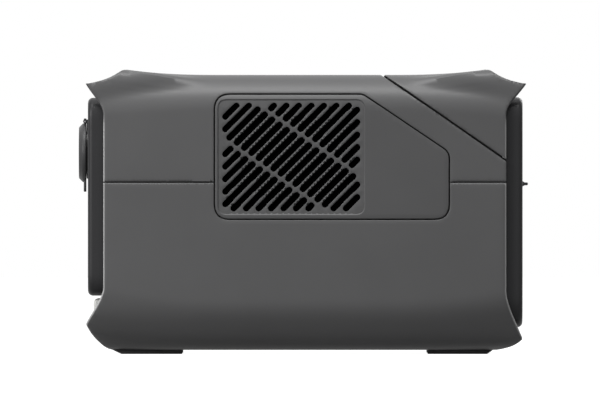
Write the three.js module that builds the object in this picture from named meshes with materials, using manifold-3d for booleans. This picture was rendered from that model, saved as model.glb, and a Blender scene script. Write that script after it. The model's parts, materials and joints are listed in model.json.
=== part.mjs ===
// Portable power station: a flared moulded case around a battery, an inverter and two fans.
// Millimetres, +Z up, front at -X, rear at +X, near side at -Y. The base centre is the origin.
import * as THREE from 'three';
import { mergeVertices } from 'three/addons/utils/BufferGeometryUtils.js';
import Module from 'manifold-3d';

const wasm = await Module();
wasm.setup();

// Case, overall
const shellLength = 301.7;
const bodyWidth = 205;
const bodyBottomZ = 2.8;
const bodyTopZ = 191.7;
const wall = 2.8;
const flareLength = 92;
const seamZ = 117.95;
const seamGap = 0.8;
const lipHeight = 4.5;
const lipWall = 1.8;

// Gaps and overruns
const clearance = 0.3;
const panelGap = 0.45;
const overrun = 12;
const runningGap = 0.3;
const bearingGap = 0.1;

// Rolls along the top and bottom edges, at mid length and at the tips
const topRollRadius = 24;
const topTipRollRadius = 39;
const topTipLift = 9.1;
const bottomRollRadius = 34;
const frontBottomTipRollRadius = 46;
const rearBottomTipRollRadius = 43;

// Fins of the top corners: place of the tip, and a crest that turns down from its start to the tip
const topTipAngle = 33;
const topFinHeight = 7.6;
const topFinStartShare = 0.05;
const topFinFullShare = 0.82;
const topFinPower = 1.7;
const topCrestStartAngle = 54.5;
const topCrestTurn = 8;
const topBelowSpreadAngle = 12;
const topBelowSpreadGrowth = 26;
const topAboveSpreadAngle = 21;
const topAboveSpreadGrowth = 4;

// Fins of the bottom corners: angle up from the side wall, height and spread
const frontBottomFinAngle = 36;
const frontBottomFinHeight = 2.8;
const rearBottomFinAngle = 52;
const rearBottomFinHeight = 2.6;
const finSpreadAngle = 30;

// Rim of each end: how far it lies behind the tips on the sides, top and bottom
const frontSideRimInset = 12;
const frontTopRimInset = 26.9;
const frontBottomRimInset = 18;
const rearSideRimInset = 13.6;
const topRimPower = 5.4;
const rearTopRimInset = 26.5;
const rearBottomTipInset = 2.2;
const rearBottomRimInset = 20.2;

// Carry handle at the top rear, parted from the case along a diagonal line
const handleSeamTopInset = 96.75;
const handleSeamTopZ = 190.8;
const handleSeamRearInset = 13.85;
const handleSeamRearZ = 133.2;
const handleSeamGap = 1.3;
const handleLapLength = 7;
const handleLapWall = 2;
const handHoleWidth = 104;
const handHoleInset = 66.85;
const gripInset = 38.85;
const gripBottomZ = 174;
const gripEdgeRadius = 5;
const wellWall = 2;
const notchWidth = 112;
const notchBottomZ = 144;

// Side panels with the fan grilles
const panelFrontX = -62.7;
const panelRearX = 98.3;
const panelBottomZ = 92.5;
const panelTopZ = 178.5;
const panelCutTopX = 39;
const panelCutRearZ = 138.5;
const panelTopCornerRadius = 11;
const panelBottomCornerRadius = 10.5;
const panelCutCornerRadius = 9;
const panelPostRadius = 3;
const grilleFrontX = -60.3;
const grilleRearX = 40.2;
const grilleBottomZ = 95.9;
const grilleTopZ = 174.7;
const grilleCornerRadius = 6.2;
const grilleRecessDepth = 0.7;
const slotWidth = 4.4;
const slotPitch = 6.05;
const slotSideMargin = 2.9;
const slotEndMargin = 2;
const slotRibWidth = 1.4;
const slotRibAngle = -35;
const slotRibOffset = 20;
const slotLeastLength = 1.5;

// Front panel and what it carries
const frontFaceInset = 1.35;
const frontPanelBottomZ = 40.2;
const frontPanelTopZ = 176;
const panelSideGap = 4.1;
const panelWall = 2.4;
const panelCornerRadius = 14;
const rearPanelLowRadius = 22;
const panelEdgeRadius = 3.4;
const flangeThickness = 2.5;
const frontPanelDepth = 28.3;

const socketEdgeGap = 32.4;
const socketZ = 138.3;
const socketBodyRadius = 14;
const socketBoreRadius = 11.7;
const socketDepth = 42;
const collarRadius = 17.8;
const collarDepth = 1.1;
const linerWall = 0.6;
const contactRadius = 4;
const contactLength = 5;

const lidFaceInset = -5.05;
const lidPlateThickness = 1.7;
const lidPlateRadius = 20.4;
const lidBlockRadius = 20.2;
const lidBlockChamfer = 2.4;
const lidAxisZ = 159.8;
const lidTipHeight = 2.1;
const lidTongueWidth = 12;
const lidTabWidth = 15;
const lidTabBottomZ = 111.5;
const lidPinRadius = 0.5;
const lidEarWidth = 2.2;
const lidEarRadius = 1.3;

const outletZ = 74;
const outletEdgeGap = 36.4;
const outletPitch = 54;
const outletBoreRadius = 19.5;
const outletBoreDepth = 17.5;
const outletWall = 2.2;
const outletDepth = 31;
const outletFlangeRadius = 24.5;
const outletFlangeThickness = 2;
const pinHoleRadius = 2.6;
const pinHoleSpacing = 19;
const pinHoleDepth = 10;
const earthClipWidth = 5;
const earthClipHeight = 2.4;
const earthClipLength = 11;

const displayEdgeGap = 10.4;
const displayZ = 141;
const displayStartY = -24;
const displayHeight = 46;
const displayCornerRadius = 6;
const displayRim = 3;
const windowThickness = 1.5;
const moduleThickness = 6;

const buttonRowZ = 103;
const smallButtonCount = 3;
const smallButtonEdgeGap = 18.4;
const smallButtonPitch = 29;
const smallButtonWidth = 15;
const smallButtonHeight = 8;
const powerButtonEdgeGap = 20.4;
const powerButtonZ = 62.3;
const powerButtonRadius = 8.9;
const powerButtonDome = 0.8;
const buttonTravel = 1.2;
const buttonFlange = 1.2;
const buttonFlangeThickness = 1.2;
const buttonStemRadius = 1.6;
const buttonStemLength = 5.2;
const switchThickness = 3.2;
const switchWidth = 6;

const usbEdgeGap = 58.4;
const usbZ = 69;
const usbWidth = 32;
const usbHeight = 40;
const usbDepth = 13.4;
const usbFlange = 3;
const usbFlangeThickness = 2;
const typeAWidth = 13;
const typeAHeight = 5.6;
const typeCWidth = 9;
const typeCHeight = 3.3;
const usbPitch = 9.4;
const usbPortDepth = 10;
const usbTongueThickness = 1.9;

const frontBoardThickness = 1.6;
const frontBoardWidth = 76;
const frontBoardEdgeGap = 7.4;
const frontBoardBottomZ = 50;
const frontBoardTopZ = 112;

const lampBottomZ = 29.8;
const lampTopZ = 37.7;
const lampEdgeGap = 32.5;
const lampFaceInset = 5.1;
const lampCornerRadius = 2.4;

// Rear panel, its inlets and their rubber cover
const rearFaceInset = 2.35;
const rearPanelBottomZ = 18.5;
const rearPanelTopZ = 176.4;
const rearPanelDepth = 30.1;
const bayWidth = 84;
const bayBottomZ = 73;
const bayTopZ = 122;
const bayCornerRadius = 6;
const coverThickness = 3;
const coverHingeHeight = 2.6;
const tabZ = 117;
const tabReach = 4.7;
const tabRootHeight = 4.9;
const tabTipHeight = 2;
const tabWidth = 26;
const acInletY = -20;
const dcInletY = 22;
const inletZ = 96;
const acInletWidth = 27;
const acInletHeight = 20;
const acInletDepth = 22;
const acInletWall = 1.6;
const acInletFloor = 4;
const acPinWidth = 2;
const acPinHeight = 4.5;
const acPinLength = 11;
const acPinSpacing = 7;
const inletFlange = 3;
const inletFlangeThickness = 2;
const dcInletRadius = 8;
const dcBoreRadius = 4.2;
const dcPinRadius = 1;
const dcInletDepth = 18;
const plateWidth = 92;
const plateBottomZ = 37.3;
const plateTopZ = 70;
const plateProud = 0.25;
const plateThickness = 0.9;

// Feet
const footWidth = 30;
const footSideInset = 52.5;
const frontFootInset = 17.95;
const frontFootSlant = 6.2;
const frontFootLength = 41.6;
const rearFootInset = 22.35;
const rearFootSlant = 3.9;
const rearFootLength = 40.9;

// Long case screws inside columns
const columnEndInset = 50.85;
const columnSideInset = 16.5;
const columnRadius = 5.5;
const driverHoleRadius = 3.6;
const screwHeadRadius = 3;
const screwHeadHeight = 2.4;
const screwShankRadius = 1.5;
const screwLength = 24;
const screwSeatZ = 104;

// Battery
const cellCount = 8;
const cellGap = 0.5;
const cellSideGap = 29.5;
const cellHeight = 71;
const cellBottomZ = 9;
const cellFrontGap = 12.7;
const cellRearGap = 6.4;
const cellTerminalRadius = 5;
const cellTerminalHeight = 1.2;
const cellTerminalOffset = 48;
const trayThickness = 2.2;
const traySideInset = 13;
const coverPlateThickness = 2;
const standoffHeight = 4;
const standoffRadius = 3;
const boardThickness = 1.6;
const bmsHeight = 58;
const bmsSideInset = 15;

// Inverter
const inverterFrontInset = 14;
const inverterRearInset = 33.5;
const inverterSideInset = 7;
const sinkSideInset = 10;
const sinkStartShare = 0.12;
const sinkWidthShare = 0.262;
const sinkHeight = 58;
const sinkBase = 6;
const sinkFinCount = 7;
const sinkFinThickness = 2;
const sinkGapX = 8;
const coreInset = 17;
const coreY = 26;
const coreWidth = 30;
const coreDepth = 44;
const coreHeight = 36;
const coilRadius = 14;
const coilHeight = 24;
const capacitorRadius = 15;
const capacitorHeight = 34;
const capacitorY = -34;
const chargeBoardInset = 17.5;
const chargeBoardSideInset = 18;
const chargeBoardTopZ = 128;

// Fans
const fanZ = 135.5;
const fanSize = 80;
const fanDepth = 25;
const fanInset = 4.7;
const fanBoreRadius = 37.5;
const fanHubRadius = 16;
const fanPlateThickness = 2.5;
const fanStrutWidth = 4;
const fanCornerRadius = 6;
const shaftRadius = 2;
const shaftLength = 6;
const bladeCount = 7;
const bladeThickness = 1.6;
const bladeSpan = 19;
const bladeChord = 20;
const bladeAngle = 38;
const rotorDepth = 16;

// Cables
const cableRadius = 2.2;

// Resolution
const cornerSteps = 9;
const finStepShare = 4 / cornerSteps;
const flareSteps = 6;
const slotEndSteps = 3;
const panelCornerSteps = 4;
const roundSteps = 24;
const smallRoundSteps = 12;
const cellTerminalSteps = 8;

// Values worked out from the sizes above
const halfWidth = bodyWidth / 2;
const frontTipX = -shellLength / 2;
const rearTipX = shellLength / 2;
const flareStart = shellLength / 2 - flareLength;
const frontFaceX = frontTipX + frontFaceInset;
const rearFaceX = rearTipX - rearFaceInset;
const lidFaceX = frontTipX + lidFaceInset;
const tabTipX = rearFaceX + tabReach;
const lengthCentreX = (lidFaceX + tabTipX) / 2;
const frontPanelInnerX = frontFaceX + panelWall;
const rearPanelInnerX = rearFaceX - panelWall;
const flangeFrontX = frontFaceX + frontPanelDepth;
const rearFlangeX = rearFaceX - rearPanelDepth;
const panelHalfWidth = halfWidth - panelSideGap;

const handleSeamTopX = rearTipX - handleSeamTopInset;
const handleSeamRearX = rearTipX - handleSeamRearInset;
const handHoleFrontX = rearTipX - handHoleInset;
const gripFrontX = rearTipX - gripInset;

const socketY = socketEdgeGap - panelHalfWidth;
const firstOutletY = outletEdgeGap - panelHalfWidth;
const displayEndY = panelHalfWidth - displayEdgeGap;
const displayWidth = displayEndY - displayStartY;
const displayY = (displayStartY + displayEndY) / 2;
const powerButtonY = panelHalfWidth - powerButtonEdgeGap;
const usbY = panelHalfWidth - usbEdgeGap;
const frontBoardEndY = panelHalfWidth - frontBoardEdgeGap;
const frontBoardStartY = frontBoardEndY - frontBoardWidth;
const lampHalfWidth = halfWidth - lampEdgeGap;

const columnX = shellLength / 2 - columnEndInset;
const columnY = halfWidth - columnSideInset;
const footCentreY = halfWidth - footSideInset;
const fanX = (grilleFrontX + grilleRearX) / 2;

const cellStartX = flangeFrontX + flangeThickness + cellFrontGap;
const cellEndX = rearFlangeX - flangeThickness - cellRearGap;
const cellPitch = (cellEndX - cellStartX + cellGap) / cellCount;
const cellThickness = cellPitch - cellGap;
const cellWidth = bodyWidth - 2 * cellSideGap;
const cellTopZ = cellBottomZ + cellHeight;
const inverterStartX = cellStartX + inverterFrontInset;
const inverterEndX = cellEndX - inverterRearInset;
const inverterHalfWidth = cellWidth / 2 - inverterSideInset;
const inverterLength = inverterEndX - inverterStartX;
const firstSinkX = inverterStartX + inverterLength * sinkStartShare;
const sinkWidth = inverterLength * sinkWidthShare;
const sinkLength = 2 * (inverterHalfWidth - sinkSideInset);
const coreX = inverterEndX - coreInset;
const chargeBoardX = cellEndX - chargeBoardInset;

// Turns a closed three.js geometry into a solid that can be joined and cut
function solid(geometry) {
  const bare = geometry.index ? geometry.clone() : geometry;
  bare.deleteAttribute('normal');
  bare.deleteAttribute('uv');
  const merged = mergeVertices(bare);
  const mesh = new wasm.Mesh({
    numProp: 3,
    vertProperties: new Float32Array(merged.attributes.position.array),
    triVerts: new Uint32Array(merged.index.array),
  });
  mesh.merge();
  return new wasm.Manifold(mesh);
}

// Turns a solid back into a geometry
function geometryOf(body) {
  const mesh = body.getMesh();
  const geometry = new THREE.BufferGeometry();
  const positions = new Float32Array(mesh.numVert * 3);
  for (let i = 0; i < mesh.numVert; i += 1) {
    positions.set(mesh.vertProperties.slice(i * mesh.numProp, i * mesh.numProp + 3), i * 3);
  }
  geometry.setAttribute('position', new THREE.BufferAttribute(positions, 3));
  geometry.setIndex(Array.from(mesh.triVerts));
  geometry.computeVertexNormals();
  return geometry;
}

function joinAll(bodies) {
  return bodies.reduce((sum, body) => sum.add(body));
}

// Box between two corners
function block(x0, x1, y0, y1, z0, z1) {
  const geometry = new THREE.BoxGeometry(x1 - x0, y1 - y0, z1 - z0);
  geometry.translate((x0 + x1) / 2, (y0 + y1) / 2, (z0 + z1) / 2);
  return solid(geometry);
}

// Round bar along X between two stations
function rodX(radius, x0, x1, y, z, steps = roundSteps) {
  const geometry = new THREE.CylinderGeometry(radius, radius, x1 - x0, steps);
  geometry.rotateZ(Math.PI / 2);
  geometry.translate((x0 + x1) / 2, y, z);
  return solid(geometry);
}

// Round bar along Y between two stations
function rodY(radius, y0, y1, x, z, steps = roundSteps) {
  const geometry = new THREE.CylinderGeometry(radius, radius, y1 - y0, steps);
  geometry.translate(x, (y0 + y1) / 2, z);
  return solid(geometry);
}

// Round bar along Z between two heights
function rodZ(radius, z0, z1, x, y, steps = roundSteps) {
  const geometry = new THREE.CylinderGeometry(radius, radius, z1 - z0, steps);
  geometry.rotateX(Math.PI / 2);
  geometry.translate(x, y, (z0 + z1) / 2);
  return solid(geometry);
}

// Outline drawn in X and Z, extruded along Y
function extrudeY(outline, y0, y1, curveSegments = 4) {
  const depth = y1 - y0;
  const geometry = new THREE.ExtrudeGeometry(outline, { depth, bevelEnabled: false, curveSegments });
  geometry.rotateX(Math.PI / 2);
  geometry.translate(0, y1, 0);
  return solid(geometry);
}

// Outline drawn in Y and Z, extruded along X
function extrudeX(outline, x0, x1, curveSegments = 3) {
  const depth = x1 - x0;
  const geometry = new THREE.ExtrudeGeometry(outline, { depth, bevelEnabled: false, curveSegments });
  geometry.rotateX(Math.PI / 2);
  geometry.rotateZ(Math.PI / 2);
  geometry.translate(x0, 0, 0);
  return solid(geometry);
}

// Rectangle with round corners in the plane of an outline, the lower two with a radius of their own
function roundedOutline(a0, a1, b0, b1, radius, lowRadius = radius) {
  const outline = new THREE.Shape();
  outline.moveTo(a0 + lowRadius, b0);
  outline.lineTo(a1 - lowRadius, b0);
  outline.absarc(a1 - lowRadius, b0 + lowRadius, lowRadius, -Math.PI / 2, 0);
  outline.lineTo(a1, b1 - radius);
  outline.absarc(a1 - radius, b1 - radius, radius, 0, Math.PI / 2);
  outline.lineTo(a0 + radius, b1);
  outline.absarc(a0 + radius, b1 - radius, radius, Math.PI / 2, Math.PI);
  outline.lineTo(a0, b0 + lowRadius);
  outline.absarc(a0 + lowRadius, b0 + lowRadius, lowRadius, Math.PI, 1.5 * Math.PI);
  return outline;
}

// Closed polygon whose corners are rounded, each by its own radius
function roundedPolygon(corners) {
  const outline = new THREE.Shape();
  const count = corners.length;
  corners.forEach(([x, z, radius], i) => {
    const here = new THREE.Vector2(x, z);
    const before = new THREE.Vector2(...corners[(i + count - 1) % count]).sub(here);
    const after = new THREE.Vector2(...corners[(i + 1) % count]).sub(here);
    const angle = Math.abs(before.angle() - after.angle());
    const opening = Math.min(angle, 2 * Math.PI - angle);
    const reach = radius / Math.tan(opening / 2);
    const start = here.clone().add(before.setLength(reach));
    const end = here.clone().add(after.setLength(reach));
    if (i === 0) {
      outline.moveTo(start.x, start.y);
    } else {
      outline.lineTo(start.x, start.y);
    }
    if (radius > 0) {
      outline.quadraticCurveTo(x, z, end.x, end.y);
    }
  });
  outline.closePath();
  return outline;
}

// How far a station lies into the flare of its end, 0 at the start and 1 at the tips
function flareShare(x) {
  return Math.max(0, (Math.abs(x) - flareStart) / flareLength);
}

// Mixes a front and a rear value smoothly along the unflared middle of the case
function frontToRear(x, front, rear) {
  const share = THREE.MathUtils.smoothstep(x, -flareStart, flareStart);
  return front + (rear - front) * share;
}

// Roll, fin and lift of the case at a station, for its top or its bottom edge
function edgeForm(x, isTop) {
  const flare = flareShare(x);
  if (isTop) {
    const missing = 1 - THREE.MathUtils.smoothstep(flare, topFinStartShare, topFinFullShare);
    return {
      radius: topRollRadius + (topTipRollRadius - topRollRadius) * flare ** 2,
      tipAngle: topTipAngle,
      fin: topFinHeight * (1 - missing ** topFinPower),
      crestAngle: topCrestStartAngle - topCrestTurn * flare,
      spreadBelow: topBelowSpreadAngle + topBelowSpreadGrowth * flare ** 2,
      spreadAbove: topAboveSpreadAngle + topAboveSpreadGrowth * flare,
      lift: topTipLift * flare ** 2.5,
    };
  }
  const tipRadius = frontToRear(x, frontBottomTipRollRadius, rearBottomTipRollRadius);
  const finAngle = frontToRear(x, frontBottomFinAngle, rearBottomFinAngle);
  return {
    radius: bottomRollRadius + (tipRadius - bottomRollRadius) * flare ** 2,
    tipAngle: finAngle,
    fin: frontToRear(x, frontBottomFinHeight, rearBottomFinHeight) * flare ** 2,
    crestAngle: finAngle,
    spreadBelow: finSpreadAngle,
    spreadAbove: finSpreadAngle,
    lift: 0,
  };
}

// Point of the case's skin: x station, share 0 to 1 round the corner from side to top or bottom
function skinPoint(x, cornerShare, isTop, side, inset) {
  const form = edgeForm(x, isTop);
  const degrees = cornerShare < finStepShare
    ? form.tipAngle * cornerShare / finStepShare
    : form.tipAngle + (90 - form.tipAngle) * (cornerShare - finStepShare) / (1 - finStepShare);
  const angle = THREE.MathUtils.degToRad(degrees);
  const spread = degrees < form.crestAngle ? form.spreadBelow : form.spreadAbove;
  const away = Math.min(1, Math.abs(degrees - form.crestAngle) / spread);
  const fin = form.fin * Math.cos(away * Math.PI / 2) ** 2;
  const reach = form.radius + fin - inset;
  const y = side * (halfWidth - form.radius + reach * Math.cos(angle));
  const z = isTop
    ? bodyTopZ + form.lift - form.radius + reach * Math.sin(angle)
    : bodyBottomZ + form.radius - reach * Math.sin(angle);
  return new THREE.Vector3(x, y, z);
}

// Station of the rim at one place round an end
function rimX(isFront, cornerShare, isTop) {
  const onSide = cornerShare < finStepShare;
  const fromTip = onSide
    ? 1 - cornerShare / finStepShare
    : (cornerShare - finStepShare) / (1 - finStepShare);
  const tipInset = isFront || isTop ? 0 : rearBottomTipInset;
  const sideInset = isFront ? frontSideRimInset : rearSideRimInset;
  const topInset = isFront ? frontTopRimInset : rearTopRimInset;
  const bottomInset = isFront ? frontBottomRimInset : rearBottomRimInset;
  const farInset = isTop ? topInset : bottomInset;
  const sideShare = isTop ? 1 - (1 - fromTip ** 1.2) ** 2.4 : 1 - (1 - fromTip ** 1.2) ** 1.6;
  const farShare = isTop ? 1 - (1 - fromTip) ** topRimPower : fromTip;
  const inset = tipInset + (onSide ? (sideInset - tipInset) * sideShare : (farInset - tipInset) * farShare);
  return isFront ? frontTipX + inset : rearTipX - inset;
}

// Places round the section, as corner shares, from one side up over the top and back underneath
function sectionPlaces() {
  const places = [];
  const corners = [[true, -1, 1], [true, 1, -1], [false, 1, 1], [false, -1, -1]];
  corners.forEach(([isTop, side, direction]) => {
    for (let step = 0; step <= cornerSteps; step += 1) {
      const share = direction > 0 ? step / cornerSteps : 1 - step / cornerSteps;
      places.push({ isTop, side, share });
    }
  });
  return places;
}

// Stations along one line of the skin, from the front rim to the rear rim
function stations(place) {
  const start = rimX(true, place.share, place.isTop);
  const end = rimX(false, place.share, place.isTop);
  const result = [];
  for (let step = 0; step < flareSteps; step += 1) {
    result.push(start + (-flareStart - start) * step / flareSteps);
  }
  for (let step = 0; step <= flareSteps; step += 1) {
    result.push(flareStart + (end - flareStart) * step / flareSteps);
  }
  return result.flatMap((x, i) => (i === flareSteps ? [-flareStart, x] : [x]));
}

// Closed shell between two insets of the skin, open at both ends like the case
function skinShell(outerInset, innerInset) {
  const places = sectionPlaces();
  const positions = [];
  const lines = [outerInset, innerInset].map((inset) => places.map((place) => stations(place).map((x) => {
    const point = skinPoint(x, place.share, place.isTop, place.side, inset);
    positions.push(point.x, point.y, point.z);
    return positions.length / 3 - 1;
  })));
  const index = [];
  const quad = (a, b, c, d) => index.push(a, b, c, a, c, d);
  const rows = lines[0][0].length;
  places.forEach((place, j) => {
    const next = (j + 1) % places.length;
    for (let i = 0; i + 1 < rows; i += 1) {
      quad(lines[0][j][i], lines[0][j][i + 1], lines[0][next][i + 1], lines[0][next][i]);
      quad(lines[1][j][i], lines[1][next][i], lines[1][next][i + 1], lines[1][j][i + 1]);
    }
    quad(lines[0][j][0], lines[0][next][0], lines[1][next][0], lines[1][j][0]);
    const last = rows - 1;
    quad(lines[0][j][last], lines[1][j][last], lines[1][next][last], lines[0][next][last]);
  });
  const geometry = new THREE.BufferGeometry();
  geometry.setAttribute('position', new THREE.Float32BufferAttribute(positions, 3));
  geometry.setIndex(index);
  return solid(geometry);
}

// Outline of the case's section at a station, inset from its skin, drawn in Y and Z
function sectionOutline(x, inset) {
  const points = sectionPlaces().map((place) => {
    const point = skinPoint(x, place.share, place.isTop, place.side, inset);
    return new THREE.Vector2(point.y, point.z);
  });
  return new THREE.Shape(points.reverse());
}

// Two stations on one side of the middle, in rising order
function span(side, near, far) {
  return [Math.min(side * near, side * far), Math.max(side * near, side * far)];
}

// Half space above the diagonal line of the handle, moved along its normal
function aboveHandleSeam(offset) {
  const along = new THREE.Vector2(handleSeamRearX - handleSeamTopX, handleSeamRearZ - handleSeamTopZ);
  const direction = along.clone().normalize();
  const normal = new THREE.Vector2(-direction.y, direction.x);
  const reach = shellLength;
  const start = new THREE.Vector2(handleSeamTopX, handleSeamTopZ)
    .addScaledVector(normal, offset)
    .addScaledVector(direction, -reach);
  const end = start.clone().addScaledVector(direction, reach + reach);
  const outline = new THREE.Shape([
    start,
    end,
    end.clone().addScaledVector(normal, reach),
    start.clone().addScaledVector(normal, reach),
  ]);
  return extrudeY(outline, -bodyWidth, bodyWidth);
}

// Outline of a side panel, drawn in X and Z and grown by a margin
function sidePanelOutline(grow) {
  const front = panelFrontX - grow;
  const rear = panelRearX + grow;
  const top = panelTopZ + grow;
  const bottom = panelBottomZ - grow;
  const cutShift = grow / 2;
  return roundedPolygon([
    [front, bottom, panelBottomCornerRadius],
    [rear, bottom, panelBottomCornerRadius],
    [rear, panelCutRearZ + cutShift, panelCutCornerRadius],
    [panelCutTopX + cutShift, top, panelCutCornerRadius],
    [front, top, panelTopCornerRadius],
  ]);
}

function columnPlaces() {
  return [-columnX, columnX].flatMap((x) => [-columnY, columnY].map((y) => [x, y]));
}

// The whole skin with the openings of both side panels
const caseSkin = skinShell(0, wall);
const panelOpenings = extrudeY(sidePanelOutline(panelGap / 2), -bodyWidth, bodyWidth);
const openedSkin = caseSkin.subtract(panelOpenings);
const insideSkin = extrudeX(
  sectionOutline(columnX, wall - clearance),
  -columnX - overrun,
  columnX + overrun,
);

function upperCase() {
  const above = block(
    -shellLength,
    shellLength,
    -bodyWidth,
    bodyWidth,
    seamZ + seamGap / 2,
    bodyTopZ + shellLength,
  );
  const skin = openedSkin.intersect(above).subtract(aboveHandleSeam(-handleSeamGap / 2));
  const columns = columnPlaces().filter(([x]) => x < 0).map(([x, y]) => {
    const column = rodZ(
      columnRadius,
      seamZ + seamGap / 2,
      bodyTopZ,
      x,
      y,
      smallRoundSteps,
    ).intersect(insideSkin);
    const pilot = rodZ(screwShankRadius + clearance, seamZ, seamZ + screwLength, x, y, smallRoundSteps);
    return column.subtract(pilot);
  });
  return joinAll([skin, ...columns]);
}

// Lip that runs along the seam behind the walls of both halves and closes it to the eye
function seamLip() {
  const startX = flangeFrontX + flangeThickness + clearance;
  const endX = rearFlangeX - flangeThickness - clearance;
  const lowerEdge = seamZ - seamGap / 2;
  const root = skinShell(wall - clearance, wall + lipWall)
    .intersect(block(startX, endX, -bodyWidth, bodyWidth, lowerEdge - lipHeight, lowerEdge));
  const tip = skinShell(wall + clearance, wall + lipWall)
    .intersect(block(startX, endX, -bodyWidth, bodyWidth, lowerEdge - clearance, lowerEdge + lipHeight));
  return root.add(tip).subtract(extrudeY(sidePanelOutline(seamGap), -bodyWidth, bodyWidth));
}

function lowerCase() {
  const below = block(-shellLength, shellLength, -bodyWidth, bodyWidth, -overrun, seamZ - seamGap / 2);
  const columns = columnPlaces().map(([x, y]) => (
    rodZ(columnRadius, bodyBottomZ, seamZ - seamGap / 2, x, y, smallRoundSteps).intersect(insideSkin)));
  const driverHoles = columnPlaces().map(([x, y]) => joinAll([
    rodZ(driverHoleRadius, -overrun, screwSeatZ, x, y, smallRoundSteps),
    rodZ(screwShankRadius + clearance, -overrun, seamZ, x, y, smallRoundSteps),
  ]));
  return joinAll([openedSkin.intersect(below), seamLip(), ...columns]).subtract(joinAll(driverHoles));
}

// Section of the grip bar, round underneath and running up into the skin
function gripOutline() {
  const rearX = rearTipX - rearTopRimInset;
  const topZ = bodyTopZ + edgeForm(gripFrontX, true).lift - wall / 2;
  const outline = new THREE.Shape();
  outline.moveTo(gripFrontX, topZ);
  outline.lineTo(gripFrontX, gripBottomZ + gripEdgeRadius);
  outline.absarc(
    gripFrontX + gripEdgeRadius,
    gripBottomZ + gripEdgeRadius,
    gripEdgeRadius,
    Math.PI,
    1.5 * Math.PI,
  );
  outline.lineTo(rearX - gripEdgeRadius, gripBottomZ);
  outline.absarc(rearX - gripEdgeRadius, gripBottomZ + gripEdgeRadius, gripEdgeRadius, -Math.PI / 2, 0);
  outline.lineTo(rearX, topZ);
  outline.closePath();
  return outline;
}

function carryHandle() {
  const seamHalf = handleSeamGap / 2;
  const skin = openedSkin.intersect(aboveHandleSeam(seamHalf));
  const lapInside = skinShell(wall - clearance, wall + handleLapWall)
    .intersect(aboveHandleSeam(seamHalf))
    .subtract(aboveHandleSeam(seamHalf + handleLapLength));
  const lapBeyond = skinShell(wall + clearance, wall + handleLapWall)
    .intersect(aboveHandleSeam(-handleLapLength))
    .subtract(aboveHandleSeam(seamHalf + clearance));
  const lapEnd = block(
    -shellLength,
    rearFlangeX - flangeThickness - clearance,
    -bodyWidth,
    bodyWidth,
    seamZ + seamGap,
    bodyTopZ * 2,
  );
  const lap = lapInside.add(lapBeyond).intersect(lapEnd).subtract(extrudeY(
    sidePanelOutline(seamGap),
    -bodyWidth,
    bodyWidth,
  ));
  const grip = extrudeY(gripOutline(), -handHoleWidth / 2 - wall, handHoleWidth / 2 + wall);
  const hole = block(
    handHoleFrontX,
    gripFrontX,
    -handHoleWidth / 2,
    handHoleWidth / 2,
    gripBottomZ,
    bodyTopZ + overrun,
  );
  return joinAll([skin, lap]).subtract(hole).add(grip);
}

// Line of the hand well's floor in X and Z, from the front of the hole down and out to the rear face
function wellLine(offset) {
  const length = rearFaceX - handHoleFrontX;
  const topZ = bodyTopZ - wall - clearance;
  const height = topZ - notchBottomZ - wellWall;
  const floorShares = [[0, 1], [0, 0.68], [0.04, 0.44], [0.12, 0.26], [0.26, 0.13], [0.48, 0.05], [1, 0]];
  return floorShares.map(([along, up]) => new THREE.Vector2(
    handHoleFrontX + along * length - offset * Math.min(1, up / floorShares[4][1]),
    notchBottomZ + wellWall + up * height - offset * (1 - up),
  ));
}

function handleWell() {
  const inner = wellLine(0);
  const outer = wellLine(wellWall);
  const half = handHoleWidth / 2 + clearance;
  const floor = extrudeY(new THREE.Shape([...inner, ...outer.slice().reverse()]), -half, half);
  const endX = rearFlangeX - clearance;
  const cheekOutline = new THREE.Shape([
    ...outer.filter((p) => p.x < endX),
    new THREE.Vector2(endX, notchBottomZ),
    new THREE.Vector2(endX, gripBottomZ - clearance),
    new THREE.Vector2(gripFrontX - clearance, gripBottomZ - clearance),
    new THREE.Vector2(gripFrontX - clearance, outer[0].y),
  ]);
  const cheeks = [-1, 1].map((side) => {
    const [near, far] = span(side, half - wellWall / 4, half + wellWall);
    return extrudeY(cheekOutline, near, far);
  });
  return joinAll([floor, ...cheeks]);
}

// Stadium-shaped slots at 45 degrees, broken by two slanting ribs
function grilleSlots(yStart, yEnd) {
  const centreX = (grilleFrontX + grilleRearX) / 2;
  const centreZ = (grilleBottomZ + grilleTopZ) / 2;
  const halfX = (grilleRearX - grilleFrontX) / 2 - slotSideMargin - slotWidth / 2;
  const halfZ = (grilleTopZ - grilleBottomZ) / 2 - slotEndMargin - slotWidth / 2;
  const ribSlope = Math.tan(THREE.MathUtils.degToRad(slotRibAngle));
  const diagonal = Math.SQRT1_2;
  const pairs = Math.floor((halfX + halfZ) * diagonal / slotPitch + 1 / 2);
  const crossing = Math.cos(THREE.MathUtils.degToRad(45 + slotRibAngle));
  const ribReach = (slotRibWidth + slotWidth) / 2 / crossing * diagonal;
  const slots = [];
  for (let i = -pairs; i < pairs; i += 1) {
    const shift = (i + 1 / 2) * slotPitch / diagonal / 2;
    const from = Math.max(-halfX - shift, -halfZ + shift);
    const to = Math.min(halfX - shift, halfZ + shift);
    const breaks = [-slotRibOffset, slotRibOffset]
      .map((offset) => (offset + shift * (1 + ribSlope)) / (1 - ribSlope))
      .filter((at) => at > from && at < to);
    const ends = [from, ...breaks.flatMap((at) => [at - ribReach, at + ribReach]), to];
    for (let k = 0; k < ends.length; k += 2) {
      if ((ends[k + 1] - ends[k]) / diagonal > slotLeastLength) {
        slots.push(slotAt(centreX + shift, centreZ - shift, ends[k], ends[k + 1], yStart, yEnd));
      }
    }
  }
  return joinAll(slots);
}

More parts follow.
